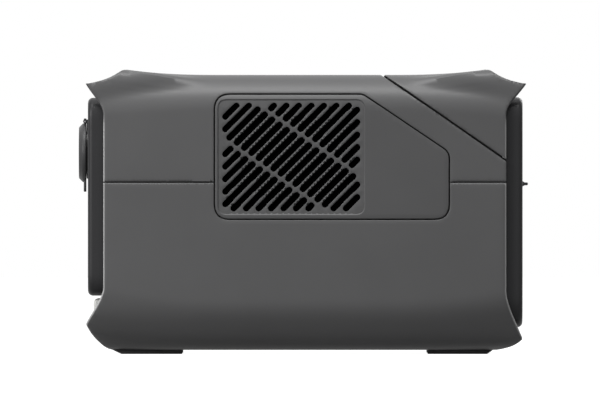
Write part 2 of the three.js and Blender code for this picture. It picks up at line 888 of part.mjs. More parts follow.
// One slot from one end to the other along a line rising at 45 degrees
function slotAt(x, z, from, to, yStart, yEnd) {
  const outline = new THREE.Shape();
  const radius = slotWidth / 2;
  outline.absarc(x + to, z + to, radius, -Math.PI / 4, 0.75 * Math.PI);
  outline.absarc(x + from, z + from, radius, 0.75 * Math.PI, 1.75 * Math.PI);
  outline.closePath();
  return extrudeY(outline, yStart, yEnd, slotEndSteps);
}

function sidePanel(side) {
  const [n0, n1] = span(side, overrun, bodyWidth);
  const halfBody = block(-shellLength, shellLength, n0, n1, 0, shellLength);
  const plate = caseSkin.intersect(extrudeY(
    sidePanelOutline(-panelGap / 2),
    -bodyWidth,
    bodyWidth,
  )).intersect(halfBody);
  const [r0, r1] = span(side, halfWidth - grilleRecessDepth, halfWidth + overrun);
  const recess = extrudeY(
    roundedOutline(grilleFrontX, grilleRearX, grilleBottomZ, grilleTopZ, grilleCornerRadius),
    r0,
    r1,
  );
  const slots = grilleSlots(...span(side, halfWidth - wall - overrun, halfWidth + overrun));
  const [p0, p1] = span(side, halfWidth - wall + clearance, halfWidth - fanInset + clearance);
  const posts = [-1, 1].map((end) => rodY(
    panelPostRadius,
    p0,
    p1,
    fanX + end * (fanSize / 2 - fanCornerRadius),
    fanZ - fanSize / 2 + fanCornerRadius,
    smallRoundSteps,
  ));
  return joinAll([plate.subtract(recess).subtract(slots), ...posts]);
}

// Outline of a raised end panel, drawn in Y and Z and shrunk by an inset
function endOutline(form, inset) {
  const half = panelHalfWidth - inset;
  return roundedOutline(
    -half,
    half,
    form.bottomZ + inset,
    form.topZ - inset,
    panelCornerRadius - inset,
    form.lowRadius - inset,
  );
}

// Raised end panel: softened edge round its face, hollow behind, with a flange that fits inside the case
function raisedPanel(form) {
  const { faceX, backX, outwards } = form;
  const deepX = backX - outwards * overrun;
  const geometry = new THREE.ExtrudeGeometry(endOutline(form, 0), {
    depth: Math.abs(faceX - deepX) - 2 * panelEdgeRadius,
    bevelThickness: panelEdgeRadius,
    bevelSize: panelEdgeRadius,
    bevelOffset: -panelEdgeRadius,
    bevelSegments: 2,
    curveSegments: panelCornerSteps,
  });
  geometry.rotateX(Math.PI / 2);
  geometry.rotateZ(Math.PI / 2);
  geometry.translate(Math.min(faceX, deepX) + panelEdgeRadius, 0, 0);
  const [x0, x1] = span(outwards, outwards * backX, shellLength);
  const box = solid(geometry).intersect(block(x0, x1, -bodyWidth, bodyWidth, 0, bodyTopZ));
  const flangeFarX = backX + outwards * flangeThickness;
  const flangeX = Math.min(backX, flangeFarX);
  const flange = extrudeX(sectionOutline(flangeFarX, wall + panelGap), flangeX, flangeX + flangeThickness);
  const insideX = faceX - outwards * panelWall;
  const hollow = extrudeX(
    endOutline(form, panelWall),
    Math.min(insideX, deepX),
    Math.max(insideX, deepX),
    panelCornerSteps,
  );
  return box.add(flange).subtract(hollow);
}

function roundedHole(y0, y1, z0, z1, radius, x0, x1) {
  return extrudeX(roundedOutline(y0, y1, z0, z1, radius), x0, x1);
}

function frontPanel() {
  const panel = raisedPanel({
    faceX: frontFaceX,
    backX: flangeFrontX + flangeThickness,
    outwards: -1,
    bottomZ: frontPanelBottomZ,
    topZ: frontPanelTopZ,
    lowRadius: panelCornerRadius,
  });
  const x0 = frontFaceX - overrun;
  const x1 = frontPanelInnerX + overrun;
  const holes = [
    rodX(socketBodyRadius + clearance, x0, x1, socketY, socketZ),
    rodX(powerButtonRadius + clearance, x0, x1, powerButtonY, powerButtonZ),
    ...[0, 1].map((i) => rodX(
      outletBoreRadius + outletWall + clearance,
      x0,
      x1,
      firstOutletY + i * outletPitch,
      outletZ,
    )),
    ...smallButtonPlaces().map((y) => roundedHole(
      y - smallButtonWidth / 2 - clearance,
      y + smallButtonWidth / 2 + clearance,
      buttonRowZ - smallButtonHeight / 2 - clearance,
      buttonRowZ + smallButtonHeight / 2 + clearance,
      smallButtonHeight / 2,
      x0,
      x1,
    )),
    roundedHole(
      usbY - usbWidth / 2 - clearance,
      usbY + usbWidth / 2 + clearance,
      usbZ - usbHeight / 2 - clearance,
      usbZ + usbHeight / 2 + clearance,
      usbFlange,
      x0,
      x1,
    ),
    roundedHole(
      displayY - displayWidth / 2 + displayRim,
      displayY + displayWidth / 2 - displayRim,
      displayZ - displayHeight / 2 + displayRim,
      displayZ + displayHeight / 2 - displayRim,
      displayCornerRadius - displayRim,
      x0,
      x1,
    ),
    roundedHole(
      displayY - displayWidth / 2 - clearance,
      displayY + displayWidth / 2 + clearance,
      displayZ - displayHeight / 2 - clearance,
      displayZ + displayHeight / 2 + clearance,
      displayCornerRadius,
      x0,
      frontFaceX + windowThickness + clearance,
    ),
    roundedHole(
      -lampHalfWidth - clearance,
      lampHalfWidth + clearance,
      lampBottomZ - clearance,
      lampTopZ + clearance,
      lampCornerRadius,
      flangeFrontX - overrun,
      flangeFrontX + overrun,
    ),
  ];
  return panel.subtract(joinAll(holes));
}

function lampBar() {
  const faceX = frontTipX + lampFaceInset;
  const bar = roundedHole(
    -lampHalfWidth,
    lampHalfWidth,
    lampBottomZ,
    lampTopZ,
    lampCornerRadius,
    faceX,
    flangeFrontX + flangeThickness,
  );
  const flange = block(
    flangeFrontX + flangeThickness + clearance,
    flangeFrontX + flangeThickness + clearance + panelWall,
    -lampHalfWidth - panelWall,
    lampHalfWidth + panelWall,
    lampBottomZ - panelWall,
    lampTopZ + panelWall,
  );
  const neck = roundedHole(
    -lampHalfWidth,
    lampHalfWidth,
    lampBottomZ,
    lampTopZ,
    lampCornerRadius,
    flangeFrontX,
    flangeFrontX + flangeThickness + panelWall,
  );
  return joinAll([bar, neck, flange]);
}

const lidPlateBackX = frontFaceX - collarDepth - runningGap;
const lidPlateFrontX = lidPlateBackX - lidPlateThickness;
const lidAxisX = (lidPlateBackX + lidPlateFrontX) / 2;

function hingeEars() {
  const inner = lidTongueWidth / 2 + runningGap;
  return [-1, 1].map((side) => {
    const y0 = socketY + Math.min(side * inner, side * (inner + lidEarWidth));
    const y1 = y0 + lidEarWidth;
    const root = block(frontFaceX - collarDepth, frontFaceX, y0, y1, socketZ + collarRadius / 2, lidAxisZ);
    const arm = block(lidAxisX, frontFaceX, y0, y1, lidAxisZ - lidEarRadius, lidAxisZ + lidEarRadius);
    const eye = rodY(lidEarRadius, y0, y1, lidAxisX, lidAxisZ, smallRoundSteps);
    const bore = rodY(
      lidPinRadius + bearingGap,
      y0 - overrun,
      y1 + overrun,
      lidAxisX,
      lidAxisZ,
      smallRoundSteps,
    );
    return joinAll([root, arm, eye]).subtract(bore);
  });
}

function carSocket() {
  const collarX = frontFaceX - collarDepth;
  const endX = collarX + socketDepth;
  const collar = rodX(collarRadius, collarX, frontFaceX, socketY, socketZ);
  const body = rodX(socketBodyRadius, frontFaceX - collarDepth / 2, endX, socketY, socketZ);
  const bore = rodX(socketBoreRadius, collarX - overrun, endX - panelWall, socketY, socketZ);
  return joinAll([collar, body, ...hingeEars()]).subtract(bore);
}

function carSocketLiner() {
  const startX = frontFaceX + clearance;
  const endX = frontFaceX - collarDepth + socketDepth - panelWall - clearance;
  const outer = rodX(socketBoreRadius - clearance, startX, endX, socketY, socketZ);
  const bore = rodX(
    socketBoreRadius - clearance - linerWall,
    startX - overrun,
    endX - linerWall,
    socketY,
    socketZ,
  );
  const contact = rodX(
    contactRadius,
    endX - linerWall - contactLength,
    endX - linerWall / 2,
    socketY,
    socketZ,
    smallRoundSteps,
  );
  return outer.subtract(bore).add(contact);
}

function hingePin() {
  const half = lidTongueWidth / 2 + runningGap + lidEarWidth;
  return rodY(lidPinRadius, socketY - half, socketY + half, lidAxisX, lidAxisZ, smallRoundSteps);
}

function socketLid() {
  const plate = rodX(lidPlateRadius, lidPlateFrontX, lidPlateBackX, socketY, socketZ);
  const earRoom = lidAxisZ - lidEarRadius - runningGap - lidEarRadius / 2;
  const trim = block(
    lidPlateFrontX - overrun,
    lidPlateBackX + overrun,
    -bodyWidth,
    bodyWidth,
    earRoom,
    bodyTopZ,
  );
  const tongue = block(
    lidPlateFrontX,
    lidPlateBackX,
    socketY - lidTongueWidth / 2,
    socketY + lidTongueWidth / 2,
    socketZ,
    lidAxisZ + lidTipHeight - lidPlateThickness / 2,
  );
  const tip = rodY(
    lidPlateThickness / 2,
    socketY - lidTongueWidth / 2,
    socketY + lidTongueWidth / 2,
    lidAxisX,
    lidAxisZ + lidTipHeight - lidPlateThickness / 2,
    smallRoundSteps,
  );
  const tab = block(
    lidPlateFrontX,
    lidPlateBackX,
    socketY - lidTabWidth / 2,
    socketY + lidTabWidth / 2,
    lidTabBottomZ,
    socketZ,
  );
  const blockGeometry = new THREE.CylinderGeometry(
    lidBlockRadius - lidBlockChamfer,
    lidBlockRadius,
    lidBlockChamfer,
    roundSteps,
  );
  blockGeometry.rotateZ(Math.PI / 2);
  blockGeometry.translate(lidFaceX + lidBlockChamfer / 2, socketY, socketZ);
  const chamfered = solid(blockGeometry);
  const raised = rodX(
    lidBlockRadius,
    lidFaceX + lidBlockChamfer,
    lidPlateFrontX + lidPlateThickness / 2,
    socketY,
    socketZ,
  );
  const bore = rodY(lidPinRadius + bearingGap, -bodyWidth, bodyWidth, lidAxisX, lidAxisZ, smallRoundSteps);
  return joinAll([plate.subtract(trim), tongue, tip, tab, raised, chamfered]).subtract(bore);
}

function acOutlet(y) {
  const flangeX = frontPanelInnerX + clearance;
  const body = rodX(outletBoreRadius + outletWall, frontFaceX, frontFaceX + outletDepth, y, outletZ);
  const flange = rodX(outletFlangeRadius, flangeX, flangeX + outletFlangeThickness, y, outletZ);
  const bore = rodX(outletBoreRadius, frontFaceX - overrun, frontFaceX + outletBoreDepth, y, outletZ);
  const pins = [-1, 1].map((side) => rodX(
    pinHoleRadius,
    frontFaceX,
    frontFaceX + outletBoreDepth + pinHoleDepth,
    y + side * pinHoleSpacing / 2,
    outletZ,
    smallRoundSteps,
  ));
  const clips = [-1, 1].map((side) => {
    const far = outletZ + side * (outletBoreRadius + outletWall / 2);
    const near = far - side * (earthClipHeight + outletWall / 2);
    const start = frontFaceX + outletBoreDepth - earthClipLength;
    return block(
      start,
      frontFaceX + outletBoreDepth,
      y - earthClipWidth / 2,
      y + earthClipWidth / 2,
      Math.min(near, far),
      Math.max(near, far),
    );
  });
  return joinAll([body.add(flange).subtract(bore).subtract(joinAll(pins)), ...clips]);
}

function displayWindow() {
  return roundedHole(
    displayY - displayWidth / 2,
    displayY + displayWidth / 2,
    displayZ - displayHeight / 2,
    displayZ + displayHeight / 2,
    displayCornerRadius,
    frontFaceX,
    frontFaceX + windowThickness,
  );
}

function displayModule() {
  const start = frontPanelInnerX + clearance;
  return block(
    start,
    start + moduleThickness,
    displayY - displayWidth / 2,
    displayY + displayWidth / 2,
    displayZ - displayHeight / 2,
    displayZ + displayHeight / 2,
  );
}

// Where the board behind the buttons lies, one switch and one travel behind the stems
const buttonFlangeStartX = frontPanelInnerX + clearance;
const buttonStemEndX = buttonFlangeStartX + buttonFlangeThickness + buttonStemLength;
const switchStartX = buttonStemEndX + buttonTravel + runningGap;
const frontBoardX = switchStartX + switchThickness;

function buttonBack(y, z, halfWide, halfHigh) {
  const flange = block(
    buttonFlangeStartX,
    buttonFlangeStartX + buttonFlangeThickness,
    y - halfWide - buttonFlange,
    y + halfWide + buttonFlange,
    z - halfHigh - buttonFlange,
    z + halfHigh + buttonFlange,
  );
  return flange.add(rodX(buttonStemRadius, buttonFlangeStartX, buttonStemEndX, y, z, smallRoundSteps));
}

// Places of the three output buttons along their row, counted from the panel's far edge
function smallButtonPlaces() {
  return Array.from({ length: smallButtonCount }, (_, i) => (
    panelHalfWidth - smallButtonEdgeGap - (smallButtonCount - 1 - i) * smallButtonPitch));
}

function smallButton(y) {
  const cap = roundedHole(
    y - smallButtonWidth / 2,
    y + smallButtonWidth / 2,
    buttonRowZ - smallButtonHeight / 2,
    buttonRowZ + smallButtonHeight / 2,
    smallButtonHeight / 2 - clearance,
    frontFaceX,
    buttonFlangeStartX + buttonFlangeThickness / 2,
  );
  return cap.add(buttonBack(y, buttonRowZ, smallButtonWidth / 2, smallButtonHeight / 2));
}

function powerButton() {
  const domeShares = [[0, 1], [0.45, 0.8], [0.8, 0.36], [1, 0]];
  const profile = domeShares.map(([outShare, upShare]) => (
    new THREE.Vector2(outShare * powerButtonRadius, upShare * powerButtonDome)
  ));
  const depth = buttonFlangeStartX + buttonFlangeThickness / 2 - frontFaceX;
  profile.push(new THREE.Vector2(powerButtonRadius, -depth));
  profile.push(new THREE.Vector2(0, -depth));
  const geometry = new THREE.LatheGeometry(profile.reverse(), roundSteps);
  geometry.rotateZ(Math.PI / 2);
  geometry.translate(frontFaceX, powerButtonY, powerButtonZ);
  return solid(geometry).add(buttonBack(powerButtonY, powerButtonZ, powerButtonRadius, powerButtonRadius));
}

function usbPorts() {
  const body = roundedHole(
    usbY - usbWidth / 2,
    usbY + usbWidth / 2,
    usbZ - usbHeight / 2,
    usbZ + usbHeight / 2,
    usbFlange - clearance,
    frontFaceX,
    frontFaceX + usbDepth,
  );
  const flange = block(
    frontPanelInnerX + clearance,
    frontPanelInnerX + clearance + usbFlangeThickness,
    usbY - usbWidth / 2 - usbFlange,
    usbY + usbWidth / 2 + usbFlange,
    usbZ - usbHeight / 2 - usbFlange,
    usbZ + usbHeight / 2 + usbFlange,
  );
  const portEnd = frontFaceX + usbPortDepth;
  const cuts = [0, 1, 2, 3].map((i) => {
    const isTypeA = i < 2;
    const z = usbZ + (1.5 - i) * usbPitch;
    const wide = (isTypeA ? typeAWidth : typeCWidth) / 2;
    const high = (isTypeA ? typeAHeight : typeCHeight) / 2;
    if (isTypeA) {
      return block(frontFaceX - overrun, portEnd, usbY - wide, usbY + wide, z - high, z + high);
    }
    const radius = high - clearance / 3;
    return roundedHole(usbY - wide, usbY + wide, z - high, z + high, radius, frontFaceX - overrun, portEnd);
  });
  const tongues = [0, 1].map((i) => {
    const z = usbZ + (1.5 - i) * usbPitch + typeAHeight / 2 - usbTongueThickness;
    const half = typeAWidth / 2 - usbTongueThickness / 2;
    return block(
      frontFaceX + usbTongueThickness / 2,
      portEnd + usbTongueThickness / 2,
      usbY - half,
      usbY + half,
      z - usbTongueThickness / 2,
      z + usbTongueThickness / 2,
    );
  });
  return joinAll([body.add(flange).subtract(joinAll(cuts)), ...tongues]);
}

function frontBoard() {
  const board = block(
    frontBoardX,
    frontBoardX + frontBoardThickness,
    frontBoardStartY,
    frontBoardEndY,
    frontBoardBottomZ,
    frontBoardTopZ,
  );
  const switchAt = (y, z) => block(
    switchStartX,
    frontBoardX + frontBoardThickness / 2,
    y - switchWidth / 2,
    y + switchWidth / 2,
    z - switchWidth / 2,
    z + switchWidth / 2,
  );
  const switches = [...smallButtonPlaces().map((y) => switchAt(y, buttonRowZ)), switchAt(
    powerButtonY,
    powerButtonZ,
  )];
  return joinAll([board, ...switches]);
}

const bayFloorX = rearFaceX - coverThickness - clearance;

function rearPanel() {
  const panel = raisedPanel({
    faceX: rearFaceX,
    backX: rearFlangeX - flangeThickness,
    outwards: 1,
    bottomZ: rearPanelBottomZ,
    topZ: rearPanelTopZ,
    lowRadius: rearPanelLowRadius,
  });
  const bayHalf = bayWidth / 2;
  const bayWallBlock = roundedHole(
    -bayHalf - panelWall,
    bayHalf + panelWall,
    bayBottomZ - panelWall,
    bayTopZ + panelWall,
    bayCornerRadius,
    bayFloorX - panelWall,
    rearPanelInnerX + clearance,
  );
  const bay = roundedHole(
    -bayHalf,
    bayHalf,
    bayBottomZ,
    bayTopZ,
    bayCornerRadius,
    bayFloorX,
    rearFaceX + overrun,
  );
  const acHole = block(
    bayFloorX - overrun,
    rearFaceX,
    acInletY - acInletWidth / 2 - clearance,
    acInletY + acInletWidth / 2 + clearance,
    inletZ - acInletHeight / 2 - clearance,
    inletZ + acInletHeight / 2 + clearance,
  );
  const dcHole = rodX(dcInletRadius + clearance, bayFloorX - overrun, rearFaceX, dcInletY, inletZ);
  const plateSeat = block(
    rearFaceX + plateProud - plateThickness - clearance / 3,
    rearFaceX + overrun,
    -plateWidth / 2 - clearance,
    plateWidth / 2 + clearance,
    plateBottomZ - clearance,
    plateTopZ + clearance,
  );
  const notchHalf = notchWidth / 2;
  const notch = block(
    rearFlangeX - overrun,
    rearFaceX + overrun,
    -notchHalf,
    notchHalf,
    notchBottomZ,
    bodyTopZ + overrun,
  );
  const notchWallFrame = block(
    rearFlangeX - flangeThickness,
    rearPanelInnerX,
    -notchHalf - panelWall,
    notchHalf + panelWall,
    notchBottomZ - panelWall,
    rearPanelTopZ - panelWall,
  );
  const bottomCut = new THREE.Shape([
    new THREE.Vector2(rearFaceX + overrun, rearPanelBottomZ - overrun),
    new THREE.Vector2(rearFaceX + overrun, rearPanelBottomZ + panelEdgeRadius),
    new THREE.Vector2(rearFaceX - panelEdgeRadius, rearPanelBottomZ - clearance),
    new THREE.Vector2(rearFaceX - panelEdgeRadius, rearPanelBottomZ - overrun),
  ]);
  return joinAll([panel, bayWallBlock, notchWallFrame])
    .subtract(joinAll([bay, acHole, dcHole, plateSeat, notch, extrudeY(bottomCut, -bodyWidth, bodyWidth)]));
}

function ratingPlate() {
  const faceX = rearFaceX + plateProud;
  return block(faceX - plateThickness, faceX, -plateWidth / 2, plateWidth / 2, plateBottomZ, plateTopZ);
}

const coverStripTopZ = bayBottomZ + coverHingeHeight;

function inputCover() {
  const half = bayWidth / 2 - clearance;
  const plate = roundedHole(
    -half,
    half,
    coverStripTopZ + runningGap,
    bayTopZ - clearance,
    bayCornerRadius - clearance,
    rearFaceX - coverThickness,
    rearFaceX,
  );
  const tabOutline = new THREE.Shape([
    new THREE.Vector2(rearFaceX - coverThickness / 2, tabZ - tabRootHeight / 2),
    new THREE.Vector2(rearFaceX, tabZ - tabRootHeight / 2),
    new THREE.Vector2(rearFaceX + tabReach / 2, tabZ - tabTipHeight / 2),
    new THREE.Vector2(tabTipX, tabZ - tabTipHeight / 2),
    new THREE.Vector2(tabTipX, tabZ + tabTipHeight / 2),
    new THREE.Vector2(rearFaceX + tabReach / 2, tabZ + tabTipHeight / 2),
    new THREE.Vector2(rearFaceX, tabZ + tabRootHeight / 2),
    new THREE.Vector2(rearFaceX - coverThickness / 2, tabZ + tabRootHeight / 2),
  ]);
  return plate.add(extrudeY(tabOutline, -tabWidth / 2, tabWidth / 2));
}

function coverHingeStrip() {
  const half = bayWidth / 2 - bayCornerRadius;
  return block(
    rearFaceX - coverThickness,
    rearFaceX - clearance,
    -half,
    half,
    bayBottomZ + clearance,
    coverStripTopZ,
  );
}

function acInlet() {
  const flangeX = bayFloorX - panelWall - clearance;
  const halfY = acInletWidth / 2;
  const halfZ = acInletHeight / 2;
  const body = block(
    bayFloorX - acInletDepth,
    bayFloorX,
    acInletY - halfY,
    acInletY + halfY,
    inletZ - halfZ,
    inletZ + halfZ,
  );
  const flange = block(
    flangeX - inletFlangeThickness,
    flangeX,
    acInletY - halfY - inletFlange,
    acInletY + halfY + inletFlange,
    inletZ - halfZ - inletFlange,
    inletZ + halfZ + inletFlange,
  );
  const floorX = bayFloorX - acInletDepth + acInletFloor;
  const recess = block(
    floorX,
    bayFloorX + overrun,
    acInletY - halfY + acInletWall,
    acInletY + halfY - acInletWall,
    inletZ - halfZ + acInletWall,
    inletZ + halfZ - acInletWall,
  );
  const pins = [-1, 0, 1].map((place) => {
    const y = acInletY + place * acPinSpacing;
    const z = inletZ - halfZ + acInletWall + acPinHeight;
    return block(
      floorX - acInletFloor / 2,
      floorX + acPinLength,
      y - acPinWidth / 2,
      y + acPinWidth / 2,
      z - acPinHeight / 2,
      z + acPinHeight / 2,
    );
  });
  return joinAll([body.add(flange).subtract(recess), ...pins]);
}

function dcInlet() {
  const flangeX = bayFloorX - panelWall - clearance;
  const body = rodX(dcInletRadius, bayFloorX - dcInletDepth, bayFloorX, dcInletY, inletZ);
  const flangeRadius = dcInletRadius + inletFlange;
  const flange = rodX(flangeRadius, flangeX - inletFlangeThickness, flangeX, dcInletY, inletZ);
  const floorX = bayFloorX - dcInletDepth + panelWall;
  const bore = rodX(dcBoreRadius, floorX, bayFloorX + overrun, dcInletY, inletZ, smallRoundSteps);
  const pin = rodX(
    dcPinRadius,
    floorX - panelWall / 2,
    bayFloorX - panelWall,
    dcInletY,
    inletZ,
    smallRoundSteps,
  );
  return body.add(flange).subtract(bore).add(pin);
}

// Rubber foot whose outer end slants in towards the ground
function foot(isFront, side) {
  const outwards = isFront ? -1 : 1;
  const rootX = isFront ? frontTipX + frontFootInset : rearTipX - rearFootInset;
  const tipX = rootX - outwards * (isFront ? frontFootSlant : rearFootSlant);
  const endX = tipX - outwards * (isFront ? frontFootLength : rearFootLength);
  const outline = new THREE.Shape([
    new THREE.Vector2(endX, 0),
    new THREE.Vector2(tipX, 0),
    new THREE.Vector2(rootX, bodyBottomZ),
    new THREE.Vector2(endX, bodyBottomZ),
  ]);
  const y = side * footCentreY;
  return extrudeY(outline, y - footWidth / 2, y + footWidth / 2);
}

function caseScrew(x, y) {
  const head = rodZ(screwHeadRadius, screwSeatZ - screwHeadHeight, screwSeatZ, x, y, smallRoundSteps);
  return head.add(rodZ(
    screwShankRadius,
    screwSeatZ - screwHeadHeight / 2,
    screwSeatZ + screwLength,
    x,
    y,
    smallRoundSteps,
  ));
}

function batteryCell(i) {
  const start = cellStartX + i * cellPitch;
  const middle = start + cellThickness / 2;
  const can = block(start, start + cellThickness, -cellWidth / 2, cellWidth / 2, cellBottomZ, cellTopZ);
  const terminals = [-1, 1].map((side) => rodZ(
    cellTerminalRadius,
    cellTopZ - cellTerminalHeight,
    cellTopZ + cellTerminalHeight,
    middle,
    side * cellTerminalOffset,
    cellTerminalSteps,
  ));
  return joinAll([can, ...terminals]);
}

function cellTray() {
  const top = cellBottomZ - clearance;
  return block(
    cellStartX,
    cellEndX,
    traySideInset - cellWidth / 2,
    cellWidth / 2 - traySideInset,
    top - trayThickness,
    top,
  );
}

const coverPlateZ = cellTopZ + cellTerminalHeight + clearance;
const inverterZ = coverPlateZ + coverPlateThickness + standoffHeight + clearance;
const sinkZ = inverterZ + boardThickness + clearance;

function batteryCover() {
  const plate = block(
    cellStartX + cellGap,
    cellEndX - cellGap,
    -cellWidth / 2,
    cellWidth / 2,
    coverPlateZ,
    coverPlateZ + coverPlateThickness,
  );
  const posts = [inverterStartX, inverterEndX].flatMap((x) => [-1, 1].map((side) => rodZ(
    standoffRadius,
    coverPlateZ + coverPlateThickness / 2,
    inverterZ - clearance,
    x + Math.sign(-x) * standoffRadius * 2,
    side * (inverterHalfWidth - standoffRadius * 2),
    smallRoundSteps,
  )));
  return joinAll([plate, ...posts]);
}

function bmsBoard() {
  const endX = cellStartX - clearance;
  const middleZ = (cellBottomZ + cellTopZ) / 2;
  return block(
    endX - boardThickness,
    endX,
    bmsSideInset - cellWidth / 2,
    cellWidth / 2 - bmsSideInset,
    middleZ - bmsHeight / 2,
    middleZ + bmsHeight / 2,
  );
}

function inverterBoard() {
  return block(
    inverterStartX,
    inverterEndX,
    -inverterHalfWidth,
    inverterHalfWidth,
    inverterZ,
    inverterZ + boardThickness,
  );
}

// Finned extrusion whose fins run across the case, in line with the two fans
function heatSink(startX) {
  const outline = new THREE.Shape();
  outline.moveTo(startX, sinkZ);
  outline.lineTo(startX + sinkWidth, sinkZ);
  const pitch = (sinkWidth - sinkFinThickness) / (sinkFinCount - 1);
  for (let i = sinkFinCount - 1; i >= 0; i -= 1) {
    const finX = startX + i * pitch;
    outline.lineTo(finX + sinkFinThickness, i === sinkFinCount - 1 ? sinkZ + sinkBase : sinkZ + sinkBase);
    outline.lineTo(finX + sinkFinThickness, sinkZ + sinkHeight);
    outline.lineTo(finX, sinkZ + sinkHeight);
    outline.lineTo(finX, sinkZ + sinkBase);
  }
  outline.closePath();
  return extrudeY(outline, -sinkLength / 2, sinkLength / 2);
}

function transformer() {
  const core = block(
    coreX - coreWidth / 2,
    coreX + coreWidth / 2,
    coreY - coreDepth / 2,
    coreY + coreDepth / 2,
    sinkZ,
    sinkZ + coreHeight,
  );
  const windowCut = block(
    coreX - coreWidth,
    coreX + coreWidth,
    coreY - coreDepth / 2 + coreWidth / 4,
    coreY + coreDepth / 2 - coreWidth / 4,
    sinkZ + (coreHeight - coilHeight) / 2,
    sinkZ + (coreHeight + coilHeight) / 2,
  );
  const coil = rodZ(
    coilRadius,
    sinkZ + (coreHeight - coilHeight) / 2 - clearance,
    sinkZ + (coreHeight + coilHeight) / 2 + clearance,
    coreX,
    coreY,
  );
  return core.subtract(windowCut).add(coil);
}

function capacitor() {
  return rodZ(capacitorRadius, sinkZ, sinkZ + capacitorHeight, coreX, capacitorY, roundSteps);
}

function chargeBoard() {
  return block(
    chargeBoardX,
    chargeBoardX + boardThickness,
    chargeBoardSideInset - cellWidth / 2,
    cellWidth / 2 - chargeBoardSideInset,
    coverPlateZ + coverPlateThickness + clearance,
    chargeBoardTopZ,
  );
}

const fanOuterY = halfWidth - fanInset;
const fanInnerY = fanOuterY - fanDepth;

function fanFrame(side) {
  const [y0, y1] = span(side, fanInnerY, fanOuterY);
  const square = extrudeY(
    roundedOutline(
      fanX - fanSize / 2,
      fanX + fanSize / 2,
      fanZ - fanSize / 2,
      fanZ + fanSize / 2,
      fanCornerRadius,
    ),
    y0,
    y1,
  );
  const bore = rodY(fanBoreRadius, y0 - overrun, y1 + overrun, fanX, fanZ);
  const [p0, p1] = span(side, fanInnerY, fanInnerY + fanPlateThickness);
  const hubPlate = rodY(fanHubRadius, p0, p1, fanX, fanZ);
  const reach = fanBoreRadius + fanStrutWidth / 4;
  const struts = [
    block(fanX - reach, fanX + reach, p0, p1, fanZ - fanStrutWidth / 2, fanZ + fanStrutWidth / 2),
    block(fanX - fanStrutWidth / 2, fanX + fanStrutWidth / 2, p0, p1, fanZ - reach, fanZ + reach),
  ];
  const bearing = rodY(shaftRadius + bearingGap, p0 - overrun, p1 + overrun, fanX, fanZ, smallRoundSteps);
  return joinAll([square.subtract(bore), hubPlate, ...struts]).subtract(bearing);
}

function fanRotor(side) {
  const rotorStart = fanInnerY + fanPlateThickness + runningGap;
  const [y0, y1] = span(side, rotorStart, rotorStart + rotorDepth);
  const hub = rodY(fanHubRadius, y0, y1, fanX, fanZ);
  const [s0, s1] = span(side, rotorStart - fanPlateThickness, rotorStart + shaftLength);
  const shaft = rodY(shaftRadius, s0, s1, fanX, fanZ, smallRoundSteps);
  const middleY = (y0 + y1) / 2;
  const blades = [];
  for (let i = 0; i < bladeCount; i += 1) {
    const geometry = new THREE.BoxGeometry(bladeSpan, bladeThickness, bladeChord);
    geometry.rotateX(THREE.MathUtils.degToRad(bladeAngle));
    geometry.translate(fanHubRadius - bladeThickness + bladeSpan / 2, 0, 0);
    geometry.rotateY(2 * Math.PI * i / bladeCount);
    geometry.translate(fanX, middleY, fanZ);
    blades.push(solid(geometry));
  }
  return joinAll([hub, shaft, ...blades]);
}

// Round cable along a smooth line through its points
function cable(points) {
  const section = new THREE.Shape();
  section.absarc(0, 0, cableRadius, 0, 2 * Math.PI);
  const path = new THREE.CatmullRomCurve3(points.map((p) => new THREE.Vector3(...p)));
  const geometry = new THREE.ExtrudeGeometry(section, { steps: 14, curveSegments: 4, extrudePath: path });
  return solid(geometry);
}

// Battery lead from the protection board up and over to the front edge of the inverter
function batteryCable(side) {
  const y = side * inverterHalfWidth / 2;
  const startX = cellStartX - clearance - boardThickness - clearance - cableRadius;
  const endX = inverterStartX + cableRadius * 2;
  return cable([
    [startX, y, cellTopZ - bmsHeight / 3],
    [startX, y, cellTopZ],
    [startX + cableRadius, y, sinkZ + cableRadius * 2],
    [(startX + endX) / 2, y, sinkZ + cableRadius * 5],
    [endX, y, sinkZ + cableRadius * 4],
    [endX, y, sinkZ + clearance],
  ]);
}

// Lead from the front edge of the inverter to the back of a mains outlet
function outletCable(outletY) {
  const backX = frontFaceX + outletDepth + clearance;
  const startZ = outletZ + outletBoreRadius / 2;
  const endX = inverterStartX + cableRadius * 2;
  return cable([
    [backX, outletY, startZ],
    [backX + cableRadius * 2, outletY, startZ],
    [backX + cableRadius * 4, outletY, sinkZ],
    [(backX + endX) / 2 + cableRadius, outletY, sinkZ + cableRadius * 6],
    [endX, outletY, sinkZ + cableRadius * 4],
    [endX, outletY, sinkZ + clearance],
  ]);
}

// Materials
function plastic(colour, roughness) {
  return new THREE.MeshStandardMaterial({ color: colour, roughness, metalness: 0 });
}

function metal(colour, roughness) {
  return new THREE.MeshStandardMaterial({ color: colour, roughness, metalness: 1 });
}

const caseGrey = () => plastic(0x4a4a4c, 0.6);
const panelGrey = () => plastic(0x303032, 0.5);
const rubberBlack = () => plastic(0x1c1c1e, 0.85);
const innerBlack = () => plastic(0x18181a, 0.7);
const boardGreen = () => plastic(0x1d4a34, 0.5);
const aluminium = () => metal(0xb4b6b8, 0.4);
const steel = () => metal(0x8a8c90, 0.35);

const station = new THREE.Group();
station.name = 'power_station';
station.position.x = -lengthCentreX;

function addPart(name, body, material) {
  const mesh = new THREE.Mesh(geometryOf(body), material);
  mesh.name = name;
  station.add(mesh);
}

addPart('upper_case', upperCase(), caseGrey());
addPart('lower_case', lowerCase(), caseGrey());
addPart('carry_handle', carryHandle(), caseGrey());
addPart('handle_well', handleWell(), panelGrey());
addPart('side_panel_right', sidePanel(-1), caseGrey());
addPart('side_panel_left', sidePanel(1), caseGrey());
addPart('front_panel', frontPanel(), panelGrey());
addPart('rear_panel', rearPanel(), panelGrey());
addPart('rating_plate', ratingPlate(), aluminium());

